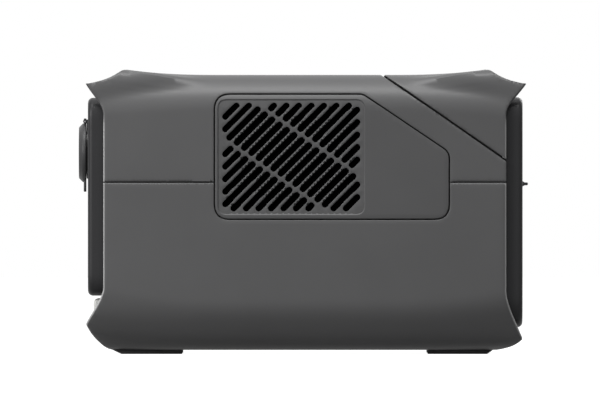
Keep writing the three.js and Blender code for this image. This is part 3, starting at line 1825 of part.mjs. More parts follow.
[['right', -1], ['left', 1]].forEach(([name, side]) => {
  addPart(`foot_front_${name}`, foot(true, side), rubberBlack());
  addPart(`foot_rear_${name}`, foot(false, side), rubberBlack());
});

addPart('car_socket', carSocket(), innerBlack());
addPart('car_socket_liner', carSocketLiner(), steel());
addPart('car_socket_lid', socketLid(), panelGrey());
addPart('lid_hinge_pin', hingePin(), steel());
[0, 1].forEach((i) => addPart(`ac_outlet_${i + 1}`, acOutlet(firstOutletY + i * outletPitch), innerBlack()));
addPart('display_window', displayWindow(), plastic(0x0c0d10, 0.1));
addPart('display_module', displayModule(), innerBlack());
['ac_button', 'dc_button', 'lamp_button'].forEach((name, i) => addPart(
  name,
  smallButton(smallButtonPlaces()[i]),
  panelGrey(),
));
addPart('power_button', powerButton(), panelGrey());
addPart('usb_ports', usbPorts(), innerBlack());
addPart('front_board', frontBoard(), boardGreen());
addPart('lamp_bar', lampBar(), plastic(0xd8d8d4, 0.3));

addPart('input_cover', inputCover(), rubberBlack());
addPart('cover_hinge_strip', coverHingeStrip(), rubberBlack());
addPart('ac_inlet', acInlet(), innerBlack());
addPart('dc_inlet', dcInlet(), innerBlack());

for (let i = 0; i < cellCount; i += 1) {
  addPart(`battery_cell_${i + 1}`, batteryCell(i), aluminium());
}
addPart('cell_tray', cellTray(), innerBlack());
addPart('battery_cover', batteryCover(), innerBlack());
addPart('bms_board', bmsBoard(), boardGreen());
addPart('inverter_board', inverterBoard(), boardGreen());
[0, 1].forEach((i) => addPart(
  `heat_sink_${i + 1}`,
  heatSink(firstSinkX + i * (sinkWidth + sinkGapX)),
  aluminium(),
));
addPart('transformer', transformer(), innerBlack());
addPart('capacitor', capacitor(), innerBlack());
addPart('charge_board', chargeBoard(), boardGreen());

[['right', -1], ['left', 1]].forEach(([name, side]) => {
  addPart(`fan_frame_${name}`, fanFrame(side), innerBlack());
  addPart(`fan_rotor_${name}`, fanRotor(side), innerBlack());
});

addPart('battery_cable_positive', batteryCable(1), plastic(0xa01818, 0.5));
addPart('battery_cable_negative', batteryCable(-1), plastic(0x161616, 0.5));
addPart('outlet_cable', outletCable(firstOutletY + outletPitch), plastic(0x2a4a8a, 0.5));

columnPlaces().forEach(([x, y], i) => addPart(`case_screw_${i + 1}`, caseScrew(x, y), steel()));

export default station;
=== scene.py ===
# %% [markdown]
# # A portable power station
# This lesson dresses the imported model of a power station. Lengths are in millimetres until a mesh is
# made, because the real drawings of such a case are too.

import json
import math
from functools import partial

import bmesh
import bpy
import numpy as np
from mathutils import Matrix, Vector
from mathutils.geometry import delaunay_2d_cdt


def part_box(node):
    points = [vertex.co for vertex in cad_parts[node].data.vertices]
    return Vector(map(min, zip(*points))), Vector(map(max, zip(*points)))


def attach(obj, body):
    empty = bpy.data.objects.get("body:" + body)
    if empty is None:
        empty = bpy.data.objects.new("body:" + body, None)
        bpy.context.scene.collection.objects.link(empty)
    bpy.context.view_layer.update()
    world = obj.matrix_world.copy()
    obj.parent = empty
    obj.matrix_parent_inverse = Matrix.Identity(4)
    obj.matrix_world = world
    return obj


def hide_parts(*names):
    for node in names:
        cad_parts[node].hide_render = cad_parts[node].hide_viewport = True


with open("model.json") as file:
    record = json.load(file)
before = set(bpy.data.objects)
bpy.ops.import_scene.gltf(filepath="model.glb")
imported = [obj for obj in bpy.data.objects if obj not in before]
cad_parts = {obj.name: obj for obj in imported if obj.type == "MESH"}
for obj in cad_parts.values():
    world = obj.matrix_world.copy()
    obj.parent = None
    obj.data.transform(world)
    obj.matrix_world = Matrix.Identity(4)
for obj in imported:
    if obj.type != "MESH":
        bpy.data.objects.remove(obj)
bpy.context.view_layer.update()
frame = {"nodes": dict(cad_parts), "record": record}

# %% [markdown]
# ## Camera
# The photograph is a plain side view, taken from far away with a long lens, so that the near and far walls
# are almost the same size. A perspective camera twelve metres away does the same. Its field is the width that
# the photograph's 600 pixels cover on the near wall.

# %% Camera
mm = 0.001
photo_width, photo_height = 600, 403
mm_per_pixel = 0.685
photo_ground_y, photo_centre_x = 354.5, 305.97
shell_length, body_width = 301.7, 205
camera_distance = 12000
sensor_width = 36
shift_x = 1000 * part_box("upper_case")[0].x + shell_length / 2


def add_object(name, data):
    """A new object in the scene."""
    item = bpy.data.objects.new(name, data)
    bpy.context.scene.collection.objects.link(item)
    return item


camera_data = bpy.data.cameras.new("camera")
camera = add_object("camera", camera_data)
camera_data.sensor_width = sensor_width
camera_data.lens = sensor_width * camera_distance / (photo_width * mm_per_pixel)
camera_x = (photo_width / 2 - photo_centre_x) * mm_per_pixel + shift_x
camera_z = (photo_ground_y - photo_height / 2) * mm_per_pixel
camera.location = (camera_x * mm, -(camera_distance + body_width / 2) * mm, camera_z * mm)
camera.rotation_euler = (math.pi / 2, 0, 0)
camera_data.clip_start, camera_data.clip_end = 0.1, 60
bpy.context.scene.camera = camera
print("lens:", round(camera_data.lens), "mm, height:", round(camera_z), "mm")

# %% [markdown]
# ## Making meshes
# Every new piece is a surface worked out by numpy as whole arrays. Small helpers turn its points and faces
# into an object, number the faces of a grid of points, and give a finished piece its material.

# %% Mesh helpers
row_shift = np.array([shift_x, 0, 0])
sharp_angle = math.radians(38)


def make_piece(name, points, faces, body="station"):
    """Object from points in mm in the case's own frame: shifted to the row frame and scaled to metres."""
    mesh = bpy.data.meshes.new(name)
    mesh.from_pydata(((np.asarray(points, float) + row_shift) * mm).tolist(), [], [list(f) for f in faces])
    mesh.validate()
    mesh.polygons.foreach_set("use_smooth", np.full(len(mesh.polygons), True))
    mesh.set_sharp_from_angle(angle=sharp_angle)
    piece = add_object(name, mesh)
    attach(piece, body)
    return piece


def grid_faces(rows, columns, close_rows=False, close_columns=False):
    """Quads between neighbours of a grid whose points are numbered row by row."""
    row = np.arange(rows if close_rows else rows - 1)
    column = np.arange(columns if close_columns else columns - 1)
    r, c = np.meshgrid(row, column, indexing="ij")
    r_next, c_next = (r + 1) % rows, (c + 1) % columns
    corners = [r * columns + c, r * columns + c_next, r_next * columns + c_next, r_next * columns + c]
    return np.stack(corners, -1).reshape(-1, 4)


def add_wall(piece, thickness):
    """Gives an open surface its wall, on the inner side."""
    solidify = piece.modifiers.new("wall", "SOLIDIFY")
    solidify.thickness, solidify.offset, solidify.use_even_offset = thickness * mm, -1, False
    return piece


def finish_piece(piece, material, slot, *nodes):
    """Gives a piece its material and puts it in the place of CAD nodes. Its record slot is not used."""
    piece.data.materials.clear()
    piece.data.materials.append(material)
    if nodes:
        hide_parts(*nodes)
    print(piece.name, len(piece.data.polygons), "faces")
    return piece


# %% [markdown]
# ## The skin of the case
# The case is one moulded tube. Its long edges are rolled, and towards both ends the rolls open out into
# fins at the four tips. One function gives every point of that skin from two parameters: the station
# `x` along the case and the way `s` round its section, counted from the seam on the near wall.
# All case pieces are cut out of this one surface, so they meet as moulded parts do.

# %% Driving sizes of the skin
half_width = body_width / 2
bottom_z, seam_z, top_z = 2.8, 117.95, 191.7
wall = 2.8
flare_length = 92
tip_x = shell_length / 2
flare_start = tip_x - flare_length
top_radius, top_tip_radius, top_tip_lift, lift_power = 24, 39, 9.1, 2.5
bottom_radius, front_bottom_tip_radius, rear_bottom_tip_radius = 34, 46, 43
top_tip_angle, top_fin_height = 33, 7.6
top_fin_start, top_fin_full, top_fin_power = 0.05, 0.82, 1.7
crest_start, crest_turn = 54.5, 8
below_crest, below_crest_growth = 12, 26
above_crest, above_crest_growth = 21, 4
front_fin_angle, front_fin_height = 36, 2.8
rear_fin_angle, rear_fin_height = 52, 2.6
fin_spread = 30
fin_share = 4 / 9
top_side, top_arc, top_flat = top_z - top_radius - seam_z, top_radius * math.pi / 2, half_width - top_radius
top_half = top_side + top_arc + top_flat
bottom_side, bottom_arc = seam_z - bottom_z - bottom_radius, bottom_radius * math.pi / 2
bottom_flat = half_width - bottom_radius
bottom_half = bottom_side + bottom_arc + bottom_flat
print("way round the top:", round(2 * top_half), "mm, round the bottom:", round(2 * bottom_half), "mm")


# %% The skin as a function
def flare(x):
    """0 along the middle of the case, rising to 1 at the tips."""
    return np.maximum(0, (np.abs(x) - flare_start) / flare_length)


def smooth_step(value, low, high):
    """0 below the low value, 1 above the high one, between them 3 t squared less 2 t cubed."""
    share = np.clip((value - low) / (high - low), 0, 1)
    return share * share * (3 - 2 * share)


def front_to_rear(x, front, rear):
    """Blend of a front and a rear value along the middle of the case."""
    return front + (rear - front) * smooth_step(x, -flare_start, flare_start)


def edge_form(x, top):
    """Radius of the roll, angle of the tip, height of the fin, and lift: all grow with the flare."""
    grow = flare(x)
    top_fin = top_fin_height * (1 - (1 - smooth_step(grow, top_fin_start, top_fin_full)) ** top_fin_power)
    bottom_tip_radius = front_to_rear(x, front_bottom_tip_radius, rear_bottom_tip_radius)
    middle_radius = np.where(top, top_radius, bottom_radius)
    radius = middle_radius + (np.where(top, top_tip_radius, bottom_tip_radius) - middle_radius) * grow**2
    angle = np.where(top, top_tip_angle, front_to_rear(x, front_fin_angle, rear_fin_angle))
    fin = np.where(top, top_fin, front_to_rear(x, front_fin_height, rear_fin_height) * grow**2)
    lift = np.where(top, top_tip_lift * grow**lift_power, 0)
    return radius, angle, fin, lift


def crest_form(x, top, angle):
    """Angle of the fin's crest and its spread below and above: on top a ridge that turns down to the tip."""
    grow = flare(x)
    crest = np.where(top, crest_start - crest_turn * grow, angle)
    below = np.where(top, below_crest + below_crest_growth * grow**2, fin_spread)
    above = np.where(top, above_crest + above_crest_growth * grow, fin_spread)
    return crest, below, above


def way_parts(s):
    """Splits the way round: way from the nearer seam, side, and the lengths of flat wall, arc and cover."""
    top = s >= 0
    half = np.where(top, top_half, bottom_half)
    way = np.abs(s)
    side = np.where(way < half, -1.0, 1.0)
    way = np.minimum(way, 2 * half - way)
    pairs = ((top_side, bottom_side), (top_arc, bottom_arc), (top_flat, bottom_flat))
    return top, way, side, half, *[np.where(top, above, below) for above, below in pairs]


def skin(x, s, inset=0.0):
    """Point of the skin: flat wall, then an arc round the rolled edge with a fin on it, then the flat cover.

    On the arc the point is centre + (radius + fin - inset) * (cos, sin) of an angle from 0 to 90 degrees,
    where fin = height * cos squared of the distance from the angle of the fin's crest.
    """
    x, s, inset = np.broadcast_arrays(np.asarray(x, float), np.asarray(s, float), np.asarray(inset, float))
    top, way, side, half, side_length, arc_length, flat_length = way_parts(s)
    radius, fin_angle, fin, lift = edge_form(x, top)
    corner_z = np.where(top, top_z + lift - radius, bottom_z + radius)
    up = np.where(top, 1.0, -1.0)
    share = np.clip((way - side_length) / arc_length, 0, 1)
    degrees = np.where(
        share < fin_share,
        fin_angle * share / fin_share,
        fin_angle + (90 - fin_angle) * (share - fin_share) / (1 - fin_share),
    )
    crest, below, above = crest_form(x, top, fin_angle)
    away = np.minimum(1, np.abs(degrees - crest) / np.where(degrees < crest, below, above))
    reach = radius + fin * np.cos(away * math.pi / 2) ** 2 - inset
    angle = np.radians(degrees)
    flat_share = np.clip((half - way) / flat_length, 0, 1)
    wall_share = np.clip(way / side_length, 0, 1)
    y = np.where(share > 0, half_width - radius + reach * np.cos(angle), half_width - inset)
    y = np.where(share >= 1, (half_width - radius) * flat_share, y)
    z = np.where(share > 0, corner_z + up * reach * np.sin(angle), seam_z + (corner_z - seam_z) * wall_share)
    return np.stack([x, side * y, z], -1)


# %% [markdown]
# The rims are the front and rear edges of the tube. They run out to the tips and fall back between them,
# far on the top, where the case is open like a visor, and less on the walls.

# %% The rims
front_side_inset, front_top_inset, front_bottom_inset = 12, 26.9, 18
rear_side_inset, rear_top_inset, rear_bottom_inset = 13.6, 26.5, 20.2
rear_bottom_tip_inset = 2.2
visor_power = 5.4
side_ease, top_side_power, bottom_side_power = 1.2, 2.4, 1.6


def rim(s, front):
    """Station of the rim at a way round the section: the tip, less a power curve towards wall and cover."""
    s = np.asarray(s, float)
    top, way, _, _, side_length, arc_length, _ = way_parts(s)
    share = np.clip((way - side_length) / arc_length, 0, 1)
    on_side = share < fin_share
    from_tip = np.where(on_side, 1 - share / fin_share, (share - fin_share) / (1 - fin_share))
    tip_inset = 0 if front else np.where(top, 0, rear_bottom_tip_inset)
    side_inset = front_side_inset if front else rear_side_inset
    cover_insets = (front_top_inset, front_bottom_inset) if front else (rear_top_inset, rear_bottom_inset)
    far_inset = np.where(top, *cover_insets)
    side_share = 1 - (1 - from_tip**side_ease) ** np.where(top, top_side_power, bottom_side_power)
    far_share = np.where(top, 1 - (1 - from_tip) ** visor_power, from_tip)
    inset = np.where(on_side, (side_inset - tip_inset) * side_share, (far_inset - tip_inset) * far_share)
    return (-1 if front else 1) * (tip_x - tip_inset - inset)


front_rim, rear_rim = partial(rim, front=True), partial(rim, front=False)


def way_at(x, z):
    """The way s of a point of the near wall or the roll above it, from its height: skin turned round."""
    x, z = np.asarray(x, float), np.asarray(z, float)
    radius, fin_angle, _, lift = edge_form(x, True)
    low_radius = edge_form(x, False)[0]
    corner_z = top_z + lift - radius
    low_z = bottom_z + low_radius
    degrees = np.degrees(np.arcsin(np.clip((z - corner_z) / radius, 0, 1)))
    share = np.where(
        degrees < fin_angle,
        degrees / fin_angle * fin_share,
        fin_share + (degrees - fin_angle) / (90 - fin_angle) * (1 - fin_share),
    )
    on_wall = (z - seam_z) / (corner_z - seam_z) * top_side
    below = (z - seam_z) / (seam_z - low_z) * bottom_side
    return np.where(z < seam_z, below, np.where(z < corner_z, on_wall, top_side + top_arc * share))


def on_wall(line):
    """A line of stations and heights on the near wall, as stations and ways."""
    return np.stack([line[:, 0], way_at(line[:, 0], line[:, 1])], -1)


# %% [markdown]
# ## Cutting pieces out of a surface
# A moulded part is a piece of the skin with an outline, perhaps with holes, and its edges are slightly
# round. The outline is drawn flat, in the two parameters, and filled with triangles that keep to it.
# Then each point is put on the skin, and near an edge it sinks in by a quarter circle: light catches
# that small round, which is what makes a seam look real.

# %% Flat outlines
just_inside = 1e-4


def round_corners(corners, steps=7):
    """Closed line through corners (a, b, radius): each is a quadratic curve between two tangent points."""
    corners = np.asarray(corners, float)
    here = corners[:, :2]
    before = np.roll(here, 1, 0) - here
    after = np.roll(here, -1, 0) - here
    before /= np.linalg.norm(before, axis=1)[:, None]
    after /= np.linalg.norm(after, axis=1)[:, None]
    opening = np.arccos(np.clip((before * after).sum(1), -1, 1))
    reach = (corners[:, 2] / np.tan(opening / 2))[:, None]
    t = np.linspace(0, 1, steps)[None, :, None]
    start, end = (here + before * reach)[:, None], (here + after * reach)[:, None]
    return ((1 - t) ** 2 * start + 2 * t * (1 - t) * here[:, None] + t**2 * end).reshape(-1, 2)


def resample(line, spacing, closed=True):
    """The same line with points at an even spacing along it, its own corners kept."""
    ends = np.roll(line, -1, 0) if closed else line[1:]
    starts = line if closed else line[:-1]
    counts = np.maximum(1, np.ceil(np.linalg.norm(ends - starts, axis=1) / spacing)).astype(int)
    parts = [a + (b - a) * np.arange(n)[:, None] / n for a, b, n in zip(starts, ends, counts)]
    return np.concatenate(parts + ([] if closed else [line[-1:]]))


def rounded_line(corners, spacing, steps=7):
    """Closed line through corners (a, b, radius), with points at an even spacing."""
    return resample(round_corners(corners, steps), spacing)


def offset_line(line, distance):
    """A closed line moved sideways along its normals, outwards where the distance is positive."""
    along = np.roll(line, -1, 0) - np.roll(line, 1, 0)
    normal = np.stack([along[:, 1], -along[:, 0]], -1)
    normal /= np.maximum(np.linalg.norm(normal, axis=1), 1e-9)[:, None]
    area = (line[:, 0] * np.roll(line[:, 1], -1) - np.roll(line[:, 0], -1) * line[:, 1]).sum()
    return line + normal * distance * math.copysign(1, area)


def line_distance(line, points, reach=8.0, chunk=4000):
    """Distance of each point to a closed line, negative inside it: the least of those to its sides.

    Points more than `reach` away from the line's box only get their distance to that box.
    """
    result = np.linalg.norm(np.maximum(np.maximum(line.min(0) - points, points - line.max(0)), 0), axis=1)
    near = np.flatnonzero(result <= reach)
    a, b = line, np.roll(line, -1, 0)
    along = b - a
    length2 = np.maximum((along**2).sum(1), 1e-12)
    for start in range(0, len(near), chunk):
        part = near[start : start + chunk]
        p = points[part, None]
        t = np.clip(((p - a) * along).sum(-1) / length2, 0, 1)
        gap = np.linalg.norm(p - a - along * t[..., None], axis=-1).min(1)
        rises = (a[:, 1] > p[..., 1]) != (b[:, 1] > p[..., 1])
        with np.errstate(divide="ignore", invalid="ignore"):
            cross = a[:, 0] + (p[..., 1] - a[:, 1]) * along[:, 0] / along[:, 1]
        inside = (rises & (p[..., 0] < cross)).sum(1) % 2 == 1
        result[part] = np.where(inside, -gap, gap)
    return result


def fill_outline(loops, keep, rings=(), spacing=3.0, clear=1.2):
    """Triangles that fill closed loops: a grid of points inside, rings near edges, the loops as borders."""
    edge = np.concatenate(loops)
    low, high = edge.min(0), edge.max(0)
    counts = np.ceil((high - low) / spacing).astype(int)
    steps = [np.linspace(a, b, n + 1) for a, b, n in zip(low, high, counts)]
    grid = np.stack(np.meshgrid(*steps), -1).reshape(-1, 2)
    near = np.full(len(grid), np.inf)
    for loop in loops:
        near = np.minimum(near, np.abs(line_distance(loop, grid)))
    grid = grid[(near > clear) & keep(grid)]
    extra = [ring[keep(ring)] for ring in rings]
    points = np.concatenate([edge, *extra, grid])
    borders, first = [], 0
    for loop in loops:
        index = first + np.arange(len(loop))
        borders += np.stack([index, np.roll(index, -1)], -1).tolist()
        first += len(loop)
    out, _, faces, *_ = delaunay_2d_cdt(points.tolist(), borders, [], 0, 1e-5, False)
    out, faces = np.array([tuple(p) for p in out]), np.array(faces)
    return out, faces[keep(out[faces].mean(1))]


def round_over(distance, radius):
    """How far a point sinks at a distance from an edge that is rounded by a quarter circle."""
    inward = np.clip(radius - distance, 0, radius)
    return radius - np.sqrt(radius**2 - inward**2)


# %% [markdown]
# ## Outlines on the case
# The side panel's outline has five corners: its top rear is cut off in line with the handle's seam. The
# handle's seam itself is a straight diagonal seen from the side. Both are drawn in `x` and `z`.

# %% Side panel outline and handle seam
panel_front, panel_rear = -62.7, 98.3
panel_bottom, panel_top = 92.5, 178.5
panel_cut_x, panel_cut_z = 39, 138.5
panel_low_corner, panel_cut_corner, panel_top_corner = 10.5, 9, 11
panel_gap, seam_gap, handle_gap = 0.9, 0.8, 1.3
handle_top, handle_rear = (54.1, 190.8), (137, 133.2)
panel_line = rounded_line(
    [
        (panel_front, panel_bottom, panel_low_corner),
        (panel_rear, panel_bottom, panel_low_corner),
        (panel_rear, panel_cut_z, panel_cut_corner),
        (panel_cut_x, panel_top, panel_cut_corner),
        (panel_front, panel_top, panel_top_corner),
    ],
    2,
)


def handle_seam(s, offset):
    """Station of the handle's diagonal seam at a way round, by a few rounds of: height, then the line's x."""
    slope = (handle_rear[0] - handle_top[0]) / (handle_top[1] - handle_rear[1])
    across = math.hypot(1, slope)
    x = np.full(np.shape(s), handle_top[0])
    for _ in range(12):
        x = handle_top[0] + (handle_top[1] - skin(x, s)[..., 2]) * slope + offset * across
    return x


opening_line = offset_line(panel_line, panel_gap / 2)
opening_way = on_wall(opening_line)
print("panel outline:", len(panel_line), "points, handle seam on top at:", handle_seam(top_half, 0).round())


# %% Case pieces from the skin
edge_round, rim_round = 0.45, 1.1
ring_shares = np.array([0.12, 0.4, 1.0])
# Painted highlight on the rims: full up to the first height above the seam, faded out by the second, in mm
painted_highlight_full, painted_highlight_end = 36, 48
slope_step = 0.1
way_step = 1.2
tip_way_start, tip_way_end, tip_way_count = 0.3, 0.8, 50


def lean(edge_x, s):
    """How much longer a step in x is than the distance from an edge that runs across at a slant."""
    return np.hypot(1, (edge_x(s + slope_step) - edge_x(s - slope_step)) / (2 * slope_step))


def skin_piece(name, s_line, front_x, rear_x, holes, edge_rounds, finish, spacing=3.0):
    """A piece of the skin between two stations given along the way, with holes.

    The rounds are those of its front edge, its rear edge and its holes. Its point attribute for the painted
    rim highlight is 1 on the very edge of a rim, and fades out away from the seam on the upper wall.
    """
    front_round, rear_round, hole_round = edge_rounds
    front, rear = (np.stack([edge_x(s_line), s_line], -1) for edge_x in (front_x, rear_x))
    last_side = resample(np.array([front[-1], rear[-1]]), 2, False)[1:-1]
    first_side = resample(np.array([rear[0], front[0]]), 2, False)[1:-1]
    outline = np.concatenate([front, last_side, rear[::-1], first_side])

    def depths(points):
        x, s = points.T
        front_gap = (x - front_x(s)) / lean(front_x, s)
        rear_gap = (rear_x(s) - x) / lean(rear_x, s)
        gaps = [front_gap, rear_gap, s - s_line[0], s_line[-1] - s]
        return gaps + [line_distance(hole, points) for hole in holes]

    def keep(points):
        return np.min(depths(points), axis=0) > just_inside

    rings = []
    inner = s_line[(s_line > s_line[0] + edge_round) & (s_line < s_line[-1] - edge_round)]
    for share in ring_shares:
        rings.append(np.stack([front_x(inner) + share * front_round * lean(front_x, inner), inner], -1))
        rings.append(np.stack([rear_x(inner) - share * rear_round * lean(rear_x, inner), inner], -1))
        for end, turn in ((s_line[0], 1), (s_line[-1], -1)):
            at = end + turn * share * edge_round
            low, high = front_x(np.array([at]))[0] + front_round, rear_x(np.array([at]))[0] - rear_round
            line = np.arange(low, high, 2)
            rings.append(np.stack([line, np.full(len(line), at)], -1))
        rings += [offset_line(hole, share * hole_round) for hole in holes]
    points, faces = fill_outline([outline, *holes], keep, rings, spacing)
    rounds = [front_round, rear_round, edge_round, edge_round] + [hole_round] * len(holes)
    gaps = depths(points)
    sink = np.max([round_over(gap, r) for gap, r in zip(gaps, rounds)], axis=0)
    piece = make_piece(name, skin(points[:, 0], points[:, 1], sink), faces)
    # Painted highlight: a lighter colour on the very edge of the rims, fading out on the upper wall away from
    # the seam
    rim_gap = np.min([gap for gap, r in zip(gaps[:2], rounds) if r == rim_round], axis=0)
    above_seam = np.where(points[:, 1] > 0, np.abs(skin(*points.T)[:, 2] - seam_z), 0)
    painted_highlight = np.clip(1 - rim_gap / rim_round, 0, 1) * (1 - smooth_step(above_seam, painted_highlight_full, painted_highlight_end))
    attribute = piece.data.attributes.new("painted_rim_highlight", "FLOAT", "POINT")
    attribute.data.foreach_set("value", painted_highlight.astype(np.float32))
    outward_check(piece)
    return finish_piece(add_wall(piece, wall), *finish)


def outward_check(piece):
    """Turns all faces round if they look inwards, judged by the sum of normal times place."""
    mesh = piece.data
    normal, centre = np.empty((2, 3 * len(mesh.polygons)))
    mesh.polygons.foreach_get("normal", normal)
    mesh.polygons.foreach_get("center", centre)
    middle = np.array([0, 0, (bottom_z + top_z) / 2 * mm])
    if (normal.reshape(-1, 3) * (centre.reshape(-1, 3) - middle)).sum() < 0:
        mesh.flip_normals()


def way_line(start, end):
    """Ways from start to end, about a millimetre apart, and closer where the rim bends round a top tip."""
    line = np.linspace(start, end, int(abs(end - start) / way_step))
    if end < start:
        return line
    near_tip = top_side + top_arc * np.linspace(tip_way_start, tip_way_end, tip_way_count)
    tips = np.concatenate([near_tip, 2 * top_half - near_tip])
    return np.unique(np.round(np.concatenate([line, tips[(tips > start + 1) & (tips < end - 1)]]), 2))


far_opening, far_opening_low = (
    np.stack([opening_way[:, 0], turn - opening_way[:, 1]], -1) for turn in (2 * top_half, -2 * bottom_half)
)
print("the far panel opening is the near one, counted from the other end of the way")

# %% [markdown]
# ## Flat parts with rounded edges
# Panels, lids, windows and feet are flat plates. Each is drawn as closed lines in a plane: an outline and
# its holes. A profile per line says how far the line is inset at each depth, so one helper makes rounded
# edges, chamfers and hollow backs. The plates are closed, like the solids they replace.


# %% Plate helpers
ring_inset, grid_clear = 0.3, 1.5
weld_distance = 0.004 * mm


def circle(a, b, radius, steps=72):
    """Closed circle round (a, b)."""
    angle = np.arange(steps) * 2 * math.pi / steps
    return np.stack([a + radius * np.cos(angle), b + radius * np.sin(angle)], -1)


def rounded_box(a0, a1, b0, b1, radius, spacing=4):
    """Closed rectangle with round corners."""
    return rounded_line([(a0, b0, radius), (a1, b0, radius), (a1, b1, radius), (a0, b1, radius)], spacing, 10)


def box_round(a, b, half_a, half_b, radius, grow=0.0, spacing=4):
    """Rounded box round a centre."""
    half_a, half_b = half_a + grow, half_b + grow
    return rounded_box(a - half_a, a + half_a, b - half_b, b + half_b, radius + grow, spacing)


def between(loops):
    """Test for points inside the first loop and outside the others."""

    def keep(points):
        gaps = [-line_distance(loops[0], points)] + [line_distance(hole, points) for hole in loops[1:]]
        return np.min(gaps, axis=0) > just_inside

    return keep


def rounded(edge, depth, back=0.0):
    """Profile of an edge: insets and depths of a quarter circle, a straight side and a back round."""
    t = np.linspace(0, math.pi / 2, 6)
    front = np.stack([edge * (1 - np.sin(t)), edge * (1 - np.cos(t))], -1)
    rear = np.stack([back * (1 - np.cos(t[::2])), depth - back * (1 - np.sin(t[::2]))], -1)
    return np.concatenate([front, rear[:1] if back == 0 else rear])


def cup(edge, depth, thickness):
    """Profile of a hollow panel's rim: round edge, outer side down, across the wall, inner side up again."""
    return np.concatenate([rounded(edge, depth), [(thickness, depth), (thickness, thickness)]])


def plate(name, loops, profiles, place, finish, body="station", spacing=14, face=None):
    """Closed plate: each loop goes through its profile from the face to the back, and both ends are filled.

    A loop at inset i is offset inwards by i if it is the outline and outwards if it is a hole.
    A profile may be given as the numbers of `rounded`. `finish` is what finish_piece needs.
    `face` may lift the face: it takes plane points and gives a depth.
    """
    profiles = [rounded(*profile) if isinstance(profile, tuple) else profile for profile in profiles]
    turns = [-1] + [1] * (len(loops) - 1)
    points, faces, count = [], [], 0

    def add(new_points, new_faces):
        nonlocal count
        points.append(new_points)
        faces.extend((np.asarray(new_faces) + count).tolist())
        count += len(new_points)

    for end, sign in ((0, 1), (-1, -1)):
        insets = [turn * profile[end][0] for turn, profile in zip(turns, profiles)]
        rims = [offset_line(loop, inset) for loop, inset in zip(loops, insets)]
        rings = [offset_line(rim_loop, turn * ring_inset) for rim_loop, turn in zip(rims, turns)]
        flat, triangles = fill_outline(rims, between(rims), rings, spacing, grid_clear)
        depth = np.full(len(flat), profiles[0][end][1])
        if end == 0 and face is not None:
            depth = depth + face(flat)
        add(place(flat, depth), triangles[:, ::sign])
    for loop, turn, profile in zip(loops, turns, profiles):
        rows = [offset_line(loop, turn * inset) for inset, _ in profile]
        grid = np.stack([place(row, np.full(len(row), depth)) for row, (_, depth) in zip(rows, profile)])
        add(grid.reshape(-1, 3), grid_faces(len(profile), len(loop), close_columns=True))
    return finish_piece(close_piece(make_piece(name, np.concatenate(points), faces, body)), *finish)


def close_piece(piece):
    """Joins points that lie on each other and turns all faces outwards."""
    shape = bmesh.new()
    shape.from_mesh(piece.data)
    bmesh.ops.remove_doubles(shape, verts=shape.verts, dist=weld_distance)
    bmesh.ops.recalc_face_normals(shape, faces=shape.faces)
    shape.to_mesh(piece.data)
    shape.free()
    piece.data.set_sharp_from_angle(angle=sharp_angle)
    return piece


def towards_front(face_x):
    """Plane points (y, z) and depths to space, for plates that face the front."""
    return lambda flat, depth: np.stack([face_x + depth, flat[:, 0], flat[:, 1]], -1)


def towards_rear(face_x):
    """Plane points (y, z) and depths to space, for plates that face the rear."""
    return lambda flat, depth: np.stack([face_x - depth, flat[:, 0], flat[:, 1]], -1)


def towards_side(face_y, side):
    """Plane points (x, z) and depths to space, for plates that face a side."""
    return lambda flat, depth: np.stack([flat[:, 0], side * (face_y - depth), flat[:, 1]], -1)


# %% [markdown]
# ## Materials
# The case is injection moulded and has a fine spark-eroded texture: no pattern is seen, only a soft,
# slightly uneven gloss. One node group makes that grain and the faint cloudiness that handling leaves.
# The colours stay in the materials, so that one group serves every plastic.


# %% Shader helpers
def group_tree(name, inputs, outputs):
    """An empty shader group with named inputs (with defaults) and outputs."""
    tree = bpy.data.node_groups.new(name, "ShaderNodeTree")
    for label, kind, value in inputs:
        socket = tree.interface.new_socket(label, in_out="INPUT", socket_type=kind)
        socket.default_value = value
    for label, kind in outputs:
        tree.interface.new_socket(label, in_out="OUTPUT", socket_type=kind)
    return tree, tree.nodes.new("NodeGroupInput"), tree.nodes.new("NodeGroupOutput")


def add_node(tree, kind, links=(), **values):
    """A node with its settings; links are (source socket, name of this node's input)."""
    node = tree.nodes.new(kind)
    for key, value in values.items():
        setattr(node, key, value)
    for source, target in links:
        tree.links.new(source, node.inputs[target])
    return node


def math_node(tree, operation, a, b):
    """A Math node whose inputs are sockets or plain numbers."""
    node = tree.nodes.new("ShaderNodeMath")
    node.operation = operation
    for index, value in enumerate((a, b)):
        if isinstance(value, (int, float)):
            node.inputs[index].default_value = value
        else:
            tree.links.new(value, node.inputs[index])
    return node.outputs[0]


